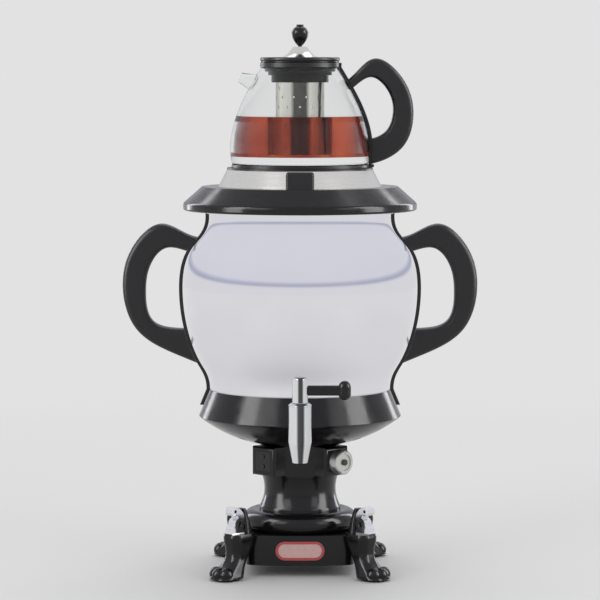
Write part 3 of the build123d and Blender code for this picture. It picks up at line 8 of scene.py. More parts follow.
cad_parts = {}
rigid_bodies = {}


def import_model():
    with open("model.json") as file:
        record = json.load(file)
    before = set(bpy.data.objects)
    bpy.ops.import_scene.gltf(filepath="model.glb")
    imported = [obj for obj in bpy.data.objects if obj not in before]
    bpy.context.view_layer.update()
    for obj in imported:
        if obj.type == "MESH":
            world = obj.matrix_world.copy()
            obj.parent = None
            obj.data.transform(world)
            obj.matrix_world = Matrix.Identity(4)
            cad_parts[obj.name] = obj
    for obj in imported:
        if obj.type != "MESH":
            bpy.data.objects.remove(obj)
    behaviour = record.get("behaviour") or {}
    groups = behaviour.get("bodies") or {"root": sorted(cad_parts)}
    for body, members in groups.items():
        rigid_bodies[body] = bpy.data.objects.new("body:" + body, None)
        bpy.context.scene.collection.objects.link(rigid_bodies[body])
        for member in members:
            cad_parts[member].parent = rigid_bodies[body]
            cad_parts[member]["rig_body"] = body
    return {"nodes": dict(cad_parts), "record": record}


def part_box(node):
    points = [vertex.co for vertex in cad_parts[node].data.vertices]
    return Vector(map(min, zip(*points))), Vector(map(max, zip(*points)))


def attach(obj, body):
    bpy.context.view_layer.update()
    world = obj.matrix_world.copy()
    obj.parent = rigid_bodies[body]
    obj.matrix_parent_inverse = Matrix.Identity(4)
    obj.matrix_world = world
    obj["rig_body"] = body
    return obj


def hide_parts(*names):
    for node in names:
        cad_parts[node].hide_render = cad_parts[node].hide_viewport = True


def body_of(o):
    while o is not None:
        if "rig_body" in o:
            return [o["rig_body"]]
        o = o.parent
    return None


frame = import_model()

bl_info = {
    "name": "Samovar with teapot",
    "version": (1, 0, 0),
    "blender": (4, 5, 0),
    "location": "View3D > Sidebar > Samovar",
    "description": "Dresses the samovar's frame with materials, finished pieces and a studio",
    "category": "Object",
}

bpy.context.view_layer.update()
SLOTS = {part["node"]: part["material_slot"] for part in frame["record"]["subparts"]}
MM = 0.001

# Meshes: lengths in metres, angles in degrees
MERGE_WITHIN = 0.001 * MM  # points nearer than this are one
SEAM_DIGITS = 7  # decimals to which points on a seam are told apart
FACING = 0.1  # least share of a face's normal that points away from the axis, or to it
ONE_PLANE = 0.1  # faces that turn less than this are joined before edges are rounded
ROUND_FROM = 38  # edges that turn more than this are rounded
ROUND_STEPS = 3  # strips of faces across a rounded edge
CAST_SHARP_FROM = 36  # edges of rounded pieces that turn more than this shade sharp
TEA_SHARP_FROM = 40  # the same for the tea
TEA_STEPS = 160  # round the tea
EYE_STEPS = 24  # round a scroll's eye
EYE_CORNERS = (225, 315)  # where the two scrolls stand, round the upright axis
# A scroll's eye from its middle outwards: shares of its radius and of half its depth
EYE_CURVE = ((0, 1), (0.7, 0.85), (1, 0.6))
# Edges nearer than this to the upright axis, in mm, mate with other pieces and stay sharp
SHARP_WITHIN = {
    "plinth": 52.5,
    "column": 37.5,
    "skirt_bowl": 75.0,
    "tray": 60.0,
    "pot_base_ring": 55.0,
    "infuser_collar": 25.5,
}

# Materials
NOISE_RANGE = (0.3, 0.7)  # where most values of Blender's noise lie
PATCH = 8  # a plain finish's tint changes over this many grains
RING_PITCH = 0.35  # mm between the rings that a lathe leaves
RING_STRAY = 2.5  # how much the rings change on their way round
STRIP_GRAIN = 9.0  # mm, width of the waves that let strips stray
STRIP_STRETCH = (1, 1, 0.25)  # the waves run four times as long upright
GLARE_LEFT = 0.25  # share of the glass's face-on glare that a polarising filter leaves
# Painted reflections: darker and lighter strips across a round wall, each a share of the way from
# left to right and its tone there
TAP_PAINTED_REFLECTIONS = (
    (0.0, 0.5),
    (0.06, 1.0),
    (0.34, 0.95),
    (0.42, 0.12),
    (0.64, 0.08),
    (0.72, 0.9),
    (1.0, 0.8),
)
BASKET_PAINTED_REFLECTIONS = (
    (0.0, 0.45),
    (0.1, 1.1),
    (0.3, 0.9),
    (0.38, 0.15),
    (0.62, 0.12),
    (0.7, 1.0),
    (1.0, 0.5),
)
# Tints of the tea, as shares of its own red, green and blue: plain is its own colour, deep is a
# painted shade and amber a painted light
TEA_OWN_AND_PAINTED_TINTS = {"plain": (1, 1, 1), "deep": (0.4, 0.25, 0.3), "amber": (1.5, 4.5, 2.2)}
# Painted light and shade across the tea: strips, each a share of the way from left to right, its
# tint and its tone
TEA_PAINTED_LIGHT_AND_SHADE = (
    (0.06, "deep", 1.0),
    (0.12, "plain", 1.0),
    (0.22, "plain", 1.25),
    (0.28, "deep", 1.0),
    (0.35, "amber", 1.0),
    (0.44, "plain", 0.7),
    (0.56, "plain", 0.7),
    (0.63, "amber", 0.8),
    (0.71, "deep", 1.0),
    (0.77, "plain", 1.15),
    (0.88, "plain", 1.0),
    (0.94, "deep", 1.0),
)
TEA_WOBBLE = 0.12  # how far the tea's painted strips of light and shade stray, as a share of the way across
# Plain finishes: colour, lowest and highest roughness, size and depth of the grain in mm,
# and 1 for a metal
FINISHES = {
    "pad_rubber": ("#17171a", 0.6, 0.8, 0.8, 0.05, 0),
    "zinc_plate": ("#aeb2b4", 0.25, 0.4, 0.6, 0.01, 1),
    "glass_filled_nylon": ("#222225", 0.45, 0.6, 0.8, 0.02, 0),
    "brass_pins": ("#c9a94f", 0.2, 0.35, 0.8, 0.01, 1),
    "solder_mask": ("#1f5a3a", 0.3, 0.45, 2.0, 0.03, 0),
    "glass_sleeve": ("#d8d2c2", 0.7, 0.85, 1.0, 0.2, 0),
    "cast_aluminium": ("#9a9c9e", 0.45, 0.6, 1.2, 0.06, 1),
    "element_sheath": ("#6d6f72", 0.35, 0.5, 1.0, 0.02, 1),
    "silicone_rubber": ("#cfcfd2", 0.5, 0.65, 1.0, 0.02, 0),
    "turned_brass": ("#b99b52", 0.2, 0.35, 0.5, 0.01, 1),
    "button_plastic": ("#3a3a3a", 0.3, 0.4, 0.6, 0.02, 0),
    "smoked_window": ("#0b0b0d", 0.05, 0.1, 4.0, 0.005, 0),
    "lamp_lens": ("#2a0d0b", 0.1, 0.2, 1.0, 0.01, 0),
}
# The plain finish of each piece inside, in the order in which they are made
INNER_WORKS = {
    "glass_filled_nylon": ("plinth_cover", "mains_inlet", "thermostat_body", "boil_dry_cutout"),
    "brass_pins": ("inlet_pins",),
    "solder_mask": ("power_board", "indicator_board"),
    "glass_sleeve": ("wiring_loom",),
    "cast_aluminium": ("heater_plate",),
    "element_sheath": ("heater_element",),
    "silicone_rubber": ("tank_gasket", "tap_washers", "lid_seal"),
    "turned_brass": ("tap_nut",),
}

# Studio: lengths in metres, powers in watts
CAMERA_PLACE = (0, -2.6, 0.45)
CAMERA_AIM = (0, 0, 0.246)
CAMERA_LENS = 172  # mm
CAMERA_SENSOR = 36  # mm
LAMP_AIM = (0, 0, 0.25)
FLOOR_RADIUS = 4.0
FLOOR_SEGMENTS = 96
FADE_FROM = 0.5  # from here outwards the floor turns into the backdrop
FADE_TO = 1.6
# Lamps: name, place, width, height and power. Only the black pieces mirror the cards
SOFT_BOXES = (
    ("key_box", (-1.8, -2.0, 1.5), 1.1, 1.5, 12.0),
    ("fill_box", (1.9, -1.7, 1.1), 0.9, 1.5, 7.0),
    ("top_box", (0.2, 1.0, 2.0), 1.6, 1.2, 8.0),
)
BLACK_CARDS = (
    ("left_card", (-2.4, -1.0, 1.2), 1.0, 2.6, 60.0),
    ("right_card", (2.5, -0.6, 1.2), 1.2, 2.6, 70.0),
    ("left_rim_card", (-1.7, 2.0, 1.0), 0.5, 2.2, 16.0),
    ("right_rim_card", (1.7, 2.0, 1.0), 0.5, 2.2, 16.0),
)
# What reflections show, each a sine of the angle above the floor and the colour there
ROOM = (
    (-0.3, "#eaeae9"),
    (0.05, "#ececef"),
    (0.09, "#b4b7cc"),
    (0.12, "#c6c8d8"),
    (0.17, "#e7e7f0"),
    (1.0, "#eaeaf1"),
)
ROOM_STRENGTH = 0.88


def linear(hex_colour):
    """An sRGB hex colour as the linear values that Blender's shaders take.

    The numbers are the sRGB standard's: a straight foot, then a power curve.
    """
    values = []
    for start in (1, 3, 5):
        value = int(hex_colour[start : start + 2], 16) / 255
        if value <= 0.04045:
            values.append(value / 12.92)
        else:
            values.append(((value + 0.055) / 1.055) ** 2.4)
    return tuple(values)


def colour(name, hex_colour, description):
    """One colour that a user can change."""
    return bpy.props.FloatVectorProperty(
        name=name,
        description=description,
        subtype="COLOR",
        min=0,
        max=1,
        default=linear(hex_colour),
    )


def length(name, millimetres, description):
    """One length that a user can change, kept in metres."""
    return bpy.props.FloatProperty(
        name=name,
        description=description,
        unit="LENGTH",
        min=0,
        default=millimetres * MM,
    )


class SamovarSizes(bpy.types.PropertyGroup):
    """Lengths of the finished pieces"""

    tea_depth: length("Tea depth", 35.6, "From the glass's inner floor to the tea's surface")
    tea_gap: length("Tea gap", 0.05, "Between the tea and the glass")
    glass_floor: length("Glass floor", 7.5, "Thickness of the teapot's floor")
    eye_low_reach: length("Low eye reach", 80.6, "From the axis to a scroll's lower eye")
    eye_low_height: length("Low eye height", 49.3, "From the floor to a scroll's lower eye")
    eye_low_radius: length("Low eye radius", 2.3, "Radius of a scroll's lower eye")
    eye_high_reach: length("High eye reach", 85.8, "From the axis to a scroll's upper eye")
    eye_high_height: length("High eye height", 61.3, "From the floor to a scroll's upper eye")
    eye_high_radius: length("High eye radius", 1.5, "Radius of a scroll's upper eye")
    eye_depth: length("Eye depth", 6.0, "How thick the dark studs in the eyes are")


class SamovarEdges(bpy.types.PropertyGroup):
    """How far the sharp edges of the moulded and cast pieces are rounded off"""

    plinth: length("Plinth", 1.0, "Rounding of the plinth's edges")
    column: length("Column", 0.8, "Rounding of the column's edges")
    corner_scrolls: length("Scrolls", 0.9, "Rounding of the scrolls' edges")
    badge_bezel: length("Badge rim", 0.5, "Rounding of the badge rim's edges")
    thermostat_dial: length("Dial", 0.3, "Rounding of the dial's edges")
    skirt_bowl: length("Skirt", 0.8, "Rounding of the skirt's edges")
    tap_body: length("Tap", 0.4, "Rounding of the tap body's edges")
    tap_bonnet: length("Bonnet", 0.3, "Rounding of the tap bonnet's edges")
    tray: length("Tray", 0.4, "Rounding of the tray's edges")
    pot_base_ring: length("Base ring", 0.5, "Rounding of the teapot's base ring")
    infuser_collar: length("Infuser collar", 0.6, "Rounding of the infuser collar's steps")


class SamovarColours(bpy.types.PropertyGroup):
    """Colours of the finishes"""

    gloss_black: colour("Gloss black", "#121113", "Base, skirt, lid collar, lever and finial")
    satin_black: colour("Satin black", "#131315", "Handles, straps and the teapot's trim")
    mirror_steel: colour("Mirror steel", "#f2f2f6", "The polished tank")
    tray_steel: colour("Tray steel", "#e8e7df", "The satin tray and the infuser")
    chrome: colour("Chrome", "#f0f1f3", "The tap and the corner scrolls")
    dial_silver: colour("Dial silver", "#d2d2cc", "The temperature dial")
    badge_red: colour("Badge red", "#a8323c", "The rim of the blank badge")
    badge_field: colour("Badge field", "#c49c98", "The blank badge")
    tea: colour("Tea", "#b23d2f", "Brewed black tea")
    floor: colour("Floor", "#e2e2e2", "The studio's paper")


def add_node(tree, kind, sockets=None, links=None, **settings):
    """Adds one node with its settings, its socket values and its links, each by input name."""
    new = tree.nodes.new(kind)
    for name, value in settings.items():
        setattr(new, name, value)
    for name, value in (sockets or {}).items():
        new.inputs[name].default_value = value
    for name, source in (links or {}).items():
        tree.links.new(source, new.inputs[name])
    return new


def surface(name, base, **sockets):
    """A new material with a Principled shader. Sockets are named with _ for their spaces."""
    material = bpy.data.materials.new(name)
    material.use_nodes = True
    tree = material.node_tree
    tree.nodes.clear()
    values = {key.replace("_", " "): value for key, value in sockets.items()}
    values["Base Color"] = (*base, 1)
    shader = add_node(tree, "ShaderNodeBsdfPrincipled", values)
    add_node(tree, "ShaderNodeOutputMaterial", links={"Surface": shader.outputs["BSDF"]})
    place = add_node(tree, "ShaderNodeTexCoord").outputs["Object"]
    return material, tree, shader, place


def grain(tree, place, size_mm, detail=2.0, stretch=(1, 1, 1)):
    """Noise whose grains are about size_mm across, longer where stretch is under 1."""
    scale = [factor / (size_mm * MM) for factor in stretch]
    moved = add_node(
        tree, "ShaderNodeMapping", {"Scale": scale}, {"Vector": place}, vector_type="POINT"
    )
    noise = add_node(
        tree,
        "ShaderNodeTexNoise",
        {"Scale": 1.0, "Detail": detail},
        {"Vector": moved.outputs["Vector"]},
    )
    return noise.outputs["Fac"]


def spread(tree, source, low, high):
    """A noise's middle range moved to run from low to high."""
    ranged = add_node(
        tree,
        "ShaderNodeMapRange",
        {
            "From Min": NOISE_RANGE[0],
            "From Max": NOISE_RANGE[1],
            "To Min": low,
            "To Max": high,
        },
        {"Value": source},
    )
    return ranged.outputs["Result"]


def roughened(tree, shader, source, low, high):
    """Varies the roughness between low and high."""
    tree.links.new(spread(tree, source, low, high), shader.inputs["Roughness"])


def relief(tree, shader, height, depth_mm, strength):
    """Bumps the surface by the height, up to depth_mm."""
    bump = add_node(
        tree,
        "ShaderNodeBump",
        {"Strength": strength, "Distance": depth_mm * MM},
        {"Height": height},
    )
    tree.links.new(bump.outputs["Normal"], shader.inputs["Normal"])


def tinted(tree, shader, source, base, dark, light):
    """Varies the base colour between its tones dark and light."""
    mix = add_node(
        tree,
        "ShaderNodeMix",
        {6: (*shade(base, dark), 1), 7: (*shade(base, light), 1)},
        {0: source},
        data_type="RGBA",
    )
    tree.links.new(mix.outputs[2], shader.inputs["Base Color"])


def colour_ramp(tree, stops, factor):
    """A ramp through the stops, each a position and a linear colour."""
    ramp = add_node(tree, "ShaderNodeValToRGB", links={"Fac": factor})
    while len(ramp.color_ramp.elements) < len(stops):
        ramp.color_ramp.elements.new(1.0)
    for element, (position, value) in zip(ramp.color_ramp.elements, stops):
        element.position = position
        element.color = (*value, 1)
    return ramp


def shade(base, factor):
    """The colour made darker or lighter by a factor."""
    return tuple(min(1.0, channel * factor) for channel in base)


def toned(base, strips):
    """The stops of a ramp, from strips of (share of the way across, tone of the base colour)."""
    return [(place, shade(base, tone)) for place, tone in strips]


def gloss_black_abs(base):
    """Injection-moulded ABS from a polished mould: deep gloss with faint flow waves."""
    material, tree, shader, place = surface(
        "gloss_black_abs", base, IOR=1.54, Specular_IOR_Level=0.3
    )
    roughened(tree, shader, grain(tree, place, size_mm=9.0), low=0.14, high=0.22)
    tinted(tree, shader, grain(tree, place, size_mm=30.0), base, dark=0.85, light=1.2)
    relief(tree, shader, grain(tree, place, size_mm=14.0), depth_mm=0.05, strength=0.12)
    return material


def satin_black_nylon(base):
    """Glass-filled nylon from a fine spark-eroded mould: satin, with a grain of 0.4 mm."""
    material, tree, shader, place = surface(
        "satin_black_nylon", base, IOR=1.53, Specular_IOR_Level=0.4
    )
    roughened(tree, shader, grain(tree, place, size_mm=6.0), low=0.3, high=0.4)
    tinted(tree, shader, grain(tree, place, size_mm=20.0), base, dark=0.8, light=1.25)
    relief(tree, shader, grain(tree, place, size_mm=0.4), depth_mm=0.02, strength=0.25)
    return material


def mirror_steel(base):
    """Buffed stainless steel 304: a mirror with a faint haze and long low waves of the sheet."""
    material, tree, shader, place = surface("mirror_stainless_steel", base, Metallic=1.0)
    haze = grain(tree, place, size_mm=40.0, detail=4.0)
    roughened(tree, shader, haze, low=0.05, high=0.1)
    tinted(tree, shader, haze, base, dark=0.96, light=1.02)
    return material


def turned_direction(tree, place, around, along):
    """Coordinates that run round the upright axis and along it, without a seam."""
    flat = add_node(
        tree, "ShaderNodeVectorMath", {1: (1, 1, 0)}, {0: place}, operation="MULTIPLY"
    )
    unit = add_node(
        tree, "ShaderNodeVectorMath", links={0: flat.outputs["Vector"]}, operation="NORMALIZE"
    )
    round_part = add_node(
        tree,
        "ShaderNodeVectorMath",
        {"Scale": around},
        {0: unit.outputs["Vector"]},
        operation="SCALE",
    )
    upright = add_node(
        tree, "ShaderNodeVectorMath", {1: (0, 0, along)}, {0: place}, operation="MULTIPLY"
    )
    both = add_node(
        tree,
        "ShaderNodeVectorMath",
        links={0: round_part.outputs["Vector"], 1: upright.outputs["Vector"]},
        operation="ADD",
    )
    return both.outputs["Vector"]


def lathe_brushed_steel(name, base, low, high):
    """Stainless steel brushed on a lathe, with rings drawn coarse enough to show."""
    material, tree, shader, place = surface(name, base, Metallic=1.0)
    rings = add_node(
        tree,
        "ShaderNodeTexNoise",
        {"Scale": 1.0, "Detail": 3.0},
        {"Vector": turned_direction(tree, place, RING_STRAY, 1 / (RING_PITCH * MM))},
    ).outputs["Fac"]
    roughened(tree, shader, rings, low, high)
    tinted(tree, shader, rings, base, dark=0.86, light=1.06)
    relief(tree, shader, rings, depth_mm=0.015, strength=0.3)
    return material


def bright_chrome(base):
    """Nickel-chrome plate on brass or zinc: a hard mirror, cooler than steel."""
    material, tree, shader, place = surface("chrome_plate", base, Metallic=1.0)
    roughened(tree, shader, grain(tree, place, size_mm=12.0), low=0.03, high=0.08)
    return material


def painted_light_strips(material, stops, wobble=0.0):
    """Paints light and shade into the base colour along its normal's X, as the darker and lighter
    strips that a round wall shows.

    Each stop is a share of the way from left to right and a colour. Wobble lets them stray.
    """
    tree = material.node_tree
    shader = next(node for node in tree.nodes if node.type == "BSDF_PRINCIPLED")
    space = add_node(tree, "ShaderNodeTexCoord")
    across = add_node(
        tree, "ShaderNodeSeparateXYZ", links={"Vector": space.outputs["Normal"]}
    ).outputs["X"]
    stray = grain(tree, space.outputs["Object"], STRIP_GRAIN, stretch=STRIP_STRETCH)
    shift = add_node(
        tree,
        "ShaderNodeMath",
        {1: wobble},
        {0: spread(tree, stray, low=-0.5, high=0.5), 2: across},
        operation="MULTIPLY_ADD",
    ).outputs["Value"]
    place = add_node(
        tree, "ShaderNodeMapRange", {"From Min": -1.0, "From Max": 1.0}, {"Value": shift}
    ).outputs["Result"]
    ramp = colour_ramp(tree, stops, place)
    tree.links.new(ramp.outputs["Color"], shader.inputs["Base Color"])
    return material


def satin_anodised(base):
    """Spun and anodised aluminium: soft, even sheen with fine turning rings."""
    material, tree, shader, place = surface("satin_anodised_aluminium", base, Metallic=0.9)
    fine = grain(tree, place, size_mm=0.5)
    roughened(tree, shader, fine, low=0.28, high=0.4)
    relief(tree, shader, fine, depth_mm=0.01, strength=0.2)
    return material


def clear_glass():
    """Mouth-blown borosilicate: clear and neutral, with slow waves in its wall.

    The dark specular tint takes off most glare, as a polarising filter does in a studio.
    """
    material, tree, shader, place = surface(
        "borosilicate_glass",
        linear("#fbfcfc"),
        IOR=1.47,
        Roughness=0.0,
        Transmission_Weight=1.0,
        Specular_Tint=(GLARE_LEFT, GLARE_LEFT, GLARE_LEFT, 1),
    )
    relief(tree, shader, grain(tree, place, size_mm=25.0), depth_mm=0.1, strength=0.08)
    return material


def brewed_tea(base):
    """Black tea: clear, with painted shade in deep red strips at the sides and painted light in
    amber strips round the infuser.
    """
    material = surface("brewed_tea", base, IOR=1.33, Roughness=0.0, Transmission_Weight=1.0)[0]
    stops = []
    for place, tint, tone in TEA_PAINTED_LIGHT_AND_SHADE:
        tinge = [channel * share for channel, share in zip(base, TEA_OWN_AND_PAINTED_TINTS[tint])]
        stops.append((place, shade(tinge, tone)))
    return painted_light_strips(material, stops, TEA_WOBBLE)


def plain(name):
    """A plain finish: its grain shows in its roughness and relief, and coarser in its tint."""
    hex_colour, low, high, size_mm, depth_mm, metallic = FINISHES[name]
    base = linear(hex_colour)
    material, tree, shader, place = surface(name, base, Metallic=metallic)
    fine = grain(tree, place, size_mm)
    roughened(tree, shader, fine, low, high)
    tinted(tree, shader, grain(tree, place, PATCH * size_mm), base, dark=0.88, light=1.12)
    relief(tree, shader, fine, depth_mm, strength=0.3)
    return material


def dress(material, *names):
    """Gives CAD nodes a material in all their slots."""
    for name in names:
        node = frame["nodes"][name]
        if not node.material_slots:
            node.data.materials.append(material)
        for slot in node.material_slots:
            slot.material = material


def fetch(name, maker, *values):
    """A material that several operators share: made once, then found by its name."""
    key = "shared_" + name
    if key not in bpy.context.scene:
        bpy.context.scene[key] = maker(*values).name
    return bpy.data.materials[bpy.context.scene[key]]


def gloss_black(scene):
    """The glossy black of the base, skirt, lid collar, lever and finial."""
    return fetch("gloss_black", gloss_black_abs, scene.samovar_colours.gloss_black)


def satin_black(scene):
    """The satin black of handles, straps and the teapot's trim."""
    return fetch("satin_black", satin_black_nylon, scene.samovar_colours.satin_black)


def zinc():
    """Zinc-plated steel of screws and bolts: dull silver, speckled by the bath."""
    return fetch("zinc", plain, "zinc_plate")


def new_piece(name, mesh, material, body, slot, *nodes):
    """Finishes a bmesh as a piece of the samovar that rides a body and stands for CAD nodes."""
    data = bpy.data.meshes.new(name)
    mesh.to_mesh(data)
    mesh.free()
    data.shade_smooth()
    piece = bpy.data.objects.new(name, data)
    bpy.context.scene.collection.objects.link(piece)
    data.materials.append(material)
    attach(piece, body)
    if nodes:
        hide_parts(*nodes)
    return piece


def eased(scene, node, material):
    """A merged copy of a CAD node with its sharp edges rounded, in the node's place."""
    inside = SHARP_WITHIN.get(node, 0.0) * MM
    source = frame["nodes"][node]
    mesh = bmesh.new()
    mesh.from_mesh(source.data)
    bmesh.ops.remove_doubles(mesh, verts=mesh.verts, dist=MERGE_WITHIN)
    bmesh.ops.dissolve_limit(
        mesh, angle_limit=math.radians(ONE_PLANE), verts=mesh.verts, edges=mesh.edges
    )
    sharp = []
    for edge in mesh.edges:
        middle = (edge.verts[0].co + edge.verts[1].co) / 2
        if edge.is_manifold and middle.xy.length >= inside:
            if edge.calc_face_angle() > math.radians(ROUND_FROM):
                sharp.append(edge)
    bmesh.ops.bevel(
        mesh,
        geom=sharp,
        offset=getattr(scene.samovar_edges, node),
        offset_type="OFFSET",
        segments=ROUND_STEPS,
        profile=0.5,
        affect="EDGES",
        clamp_overlap=True,
        material=-1,
    )
    piece = new_piece(
        node + "_eased", mesh, material, body_of(source)[0], SLOTS[node], node
    )
    piece.data.set_sharp_from_angle(angle=math.radians(CAST_SHARP_FROM))
    piece.modifiers.new("flat faces stay flat", "WEIGHTED_NORMAL").keep_sharp = True
    return piece


def spun(points, steps):
    """A closed shell spun round the upright axis from (radius, height) points that end on it."""
    mesh = bmesh.new()
    line = [mesh.verts.new((radius, 0, height)) for radius, height in points]
    edges = [mesh.edges.new(pair) for pair in zip(line, line[1:])]
    bmesh.ops.spin(
        mesh,
        geom=line + edges,
        cent=(0, 0, 0),
        axis=(0, 0, 1),
        dvec=(0, 0, 0),
        angle=2 * math.pi,
        steps=steps,
        use_merge=True,
        use_duplicate=False,
    )
    bmesh.ops.remove_doubles(mesh, verts=mesh.verts, dist=MERGE_WITHIN)
    bmesh.ops.recalc_face_normals(mesh, faces=mesh.faces)
    return mesh


def seam_line(node, side, low, high):
    """The (radius, height) points of a turned node's outer (1) or inner (-1) skin on its seam."""
    data = frame["nodes"][node].data
    found = set()
    for face in data.polygons:
        if side * face.normal.x < FACING:
            continue
        for index in face.vertices:
            place = data.vertices[index].co
            if abs(place.y) < MERGE_WITHIN and place.x > 0 and low <= place.z <= high:
                found.add((round(place.z, SEAM_DIGITS), round(place.x, SEAM_DIGITS)))
    return [(radius, height) for height, radius in sorted(found)]


class SAMOVAR_OT_base(bpy.types.Operator):
    """Finishes the feet, legs, scrolls, plinth, badge, bead and column"""

    bl_idname = "samovar.base"
    bl_label = "Base"

    def execute(self, context):
        scene = context.scene
        colours = scene.samovar_colours
        legs = [f"leg_{end}_{side}" for end in ("front", "rear") for side in ("left", "right")]
        dress(gloss_black(scene), "base_bead", *legs)
        eased(scene, "plinth", gloss_black(scene))
        eased(scene, "column", gloss_black(scene))
        eased(scene, "corner_scrolls", bright_chrome(colours.chrome))
        self.add_eyes(scene)
        dress(plain("pad_rubber"), "foot_pads")
        dress(zinc(), "base_screws", "tie_bolts")
        eased(scene, "badge_bezel", self.enamel("red_enamel", colours.badge_red))
        dress(self.enamel("rose_print", colours.badge_field), "badge_plate")
        return {"FINISHED"}

    def add_eyes(self, scene):
        """Dark studs in the two eyes of each scroll, each a flat lens across its scroll."""
        sizes = scene.samovar_sizes
        eyes = (
            (sizes.eye_low_reach, sizes.eye_low_height, sizes.eye_low_radius),
            (sizes.eye_high_reach, sizes.eye_high_height, sizes.eye_high_radius),
        )
        whole = bmesh.new()
        half = sizes.eye_depth / 2
        lay = Matrix.Rotation(math.radians(90), 4, "X")
        for degrees in EYE_CORNERS:
            spin = Matrix.Rotation(math.radians(degrees), 4, "Z")
            for reach, height, radius in eyes:
                back = [(out * radius, -deep * half) for out, deep in EYE_CURVE]
                front = [(out, -deep) for out, deep in reversed(back)]
                mesh = spun(back + front, EYE_STEPS)
                move = Matrix.Translation((reach, 0, height))
                bmesh.ops.transform(mesh, matrix=spin @ move @ lay, verts=mesh.verts)
                data = bpy.data.meshes.new("eye")
                mesh.to_mesh(data)
                mesh.free()
                whole.from_mesh(data)
                bpy.data.meshes.remove(data)
        new_piece("scroll_eyes", whole, gloss_black(scene), "base", "black_plastic")

    def enamel(self, name, base):
        """Stoved lacquer on a pressed plate: glossy, with a faint orange-peel skin."""
        material, tree, shader, place = surface(
            name, base, Coat_Weight=0.8, Coat_Roughness=0.06
        )
        roughened(tree, shader, grain(tree, place, size_mm=3.0), low=0.25, high=0.4)
        tinted(tree, shader, grain(tree, place, size_mm=6.0), base, dark=0.92, light=1.08)
        relief(tree, shader, grain(tree, place, size_mm=1.2), depth_mm=0.01, strength=0.2)
        return material


class SAMOVAR_OT_inner_works(bpy.types.Operator):
    """Finishes the inlet, board, wiring, heater and other pieces inside"""

    bl_idname = "samovar.inner_works"
    bl_label = "Inner works"

    def execute(self, context):
        for finish, nodes in INNER_WORKS.items():
            dress(plain(finish), *nodes)
        dress(zinc(), "tank_screws", "handle_studs", "pot_handle_screws", "thermostat_spindle")
        return {"FINISHED"}


class SAMOVAR_OT_controls(bpy.types.Operator):
    """Finishes the dial, the indicator window and its lamps"""

    bl_idname = "samovar.controls"
    bl_label = "Controls"

    def execute(self, context):
        scene = context.scene
        silver = satin_anodised(scene.samovar_colours.dial_silver)
        eased(scene, "thermostat_dial", silver)
        dress(plain("button_plastic"), "dial_insert")
        dress(plain("smoked_window"), "indicator_panel")
        dress(plain("lamp_lens"), "indicator_lamps")
        return {"FINISHED"}


class SAMOVAR_OT_tank(bpy.types.Operator):
    """Finishes the skirt bowl, the polished tank, its straps and handles"""

    bl_idname = "samovar.tank"
    bl_label = "Tank"

    def execute(self, context):
        scene = context.scene
        eased(scene, "skirt_bowl", gloss_black(scene))
        dress(mirror_steel(scene.samovar_colours.mirror_steel), "tank")
        self.keep_off_the_mirror()
        dress(satin_black(scene), "strap_left", "strap_right", "handle_left", "handle_right")
        return {"FINISHED"}

    def keep_off_the_mirror(self):
        """Keeps the tank's neighbours from showing in its polish, by hiding them from
        reflections.
        """
        sides = [f"{part}_{side}" for part in ("strap", "handle") for side in ("left", "right")]
        for node in (*sides, "tap_lever", "tap_plug", "lid_collar", "lid_plate", "lid_seal"):
            frame["nodes"][node].visible_glossy = False


class SAMOVAR_OT_tap(bpy.types.Operator):
    """Finishes the tap and its lever"""

    bl_idname = "samovar.tap"
    bl_label = "Tap"

    def execute(self, context):
        scene = context.scene
        bright = scene.samovar_colours.chrome
        # The tap's chrome gets painted reflections: a dark strip down its front between lighter
        # ones
        plate = painted_light_strips(bright_chrome(bright), toned(bright, TAP_PAINTED_REFLECTIONS))
        plate.name = "chrome_plate_on_tap"
        eased(scene, "tap_body", plate).visible_glossy = False
        eased(scene, "tap_bonnet", plate).visible_glossy = False
        dress(plate, "tap_plug")
        dress(gloss_black(scene), "tap_lever")
        return {"FINISHED"}


class SAMOVAR_OT_lid(bpy.types.Operator):
    """Finishes the lid and its tray"""

    bl_idname = "samovar.lid"
    bl_label = "Lid and tray"

    def execute(self, context):
        scene = context.scene
        steel = scene.samovar_colours.tray_steel
        dress(gloss_black(scene), "lid_collar")
        dress(lathe_brushed_steel("lid_steel", steel, low=0.3, high=0.45), "lid_plate")
        eased(scene, "tray", lathe_brushed_steel("tray_steel", steel, low=0.22, high=0.34))
        dress(satin_black(scene), "tray_rim", "tray_grip")
        return {"FINISHED"}


class SAMOVAR_OT_teapot(bpy.types.Operator):
    """Finishes the glass teapot, its trim, its handle and the tea in it"""

    bl_idname = "samovar.teapot"
    bl_label = "Teapot"

    def execute(self, context):
        scene = context.scene
        sizes = scene.samovar_sizes
        dress(clear_glass(), "pot_glass")
        dress(satin_black(scene), "pot_neck_ring", "pot_handle")
        eased(scene, "pot_base_ring", satin_black(scene))
        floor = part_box("pot_glass")[0].z + sizes.glass_floor + sizes.tea_gap
        level = floor + sizes.tea_depth
        wall = [
            (radius - sizes.tea_gap, height)
            for radius, height in seam_line("pot_glass", -1, floor, level)
        ]
        first = (wall[0][0], floor)
        last = (wall[-1][0], level)
        profile = [(0, floor), first, *wall[1:-1], last, (0, level)]
        tea = new_piece(
            "tea",
            spun(profile, TEA_STEPS),
            brewed_tea(scene.samovar_colours.tea),
            "teapot",
            "borosilicate",
        )
        tea.data.set_sharp_from_angle(angle=math.radians(TEA_SHARP_FROM))
        return {"FINISHED"}


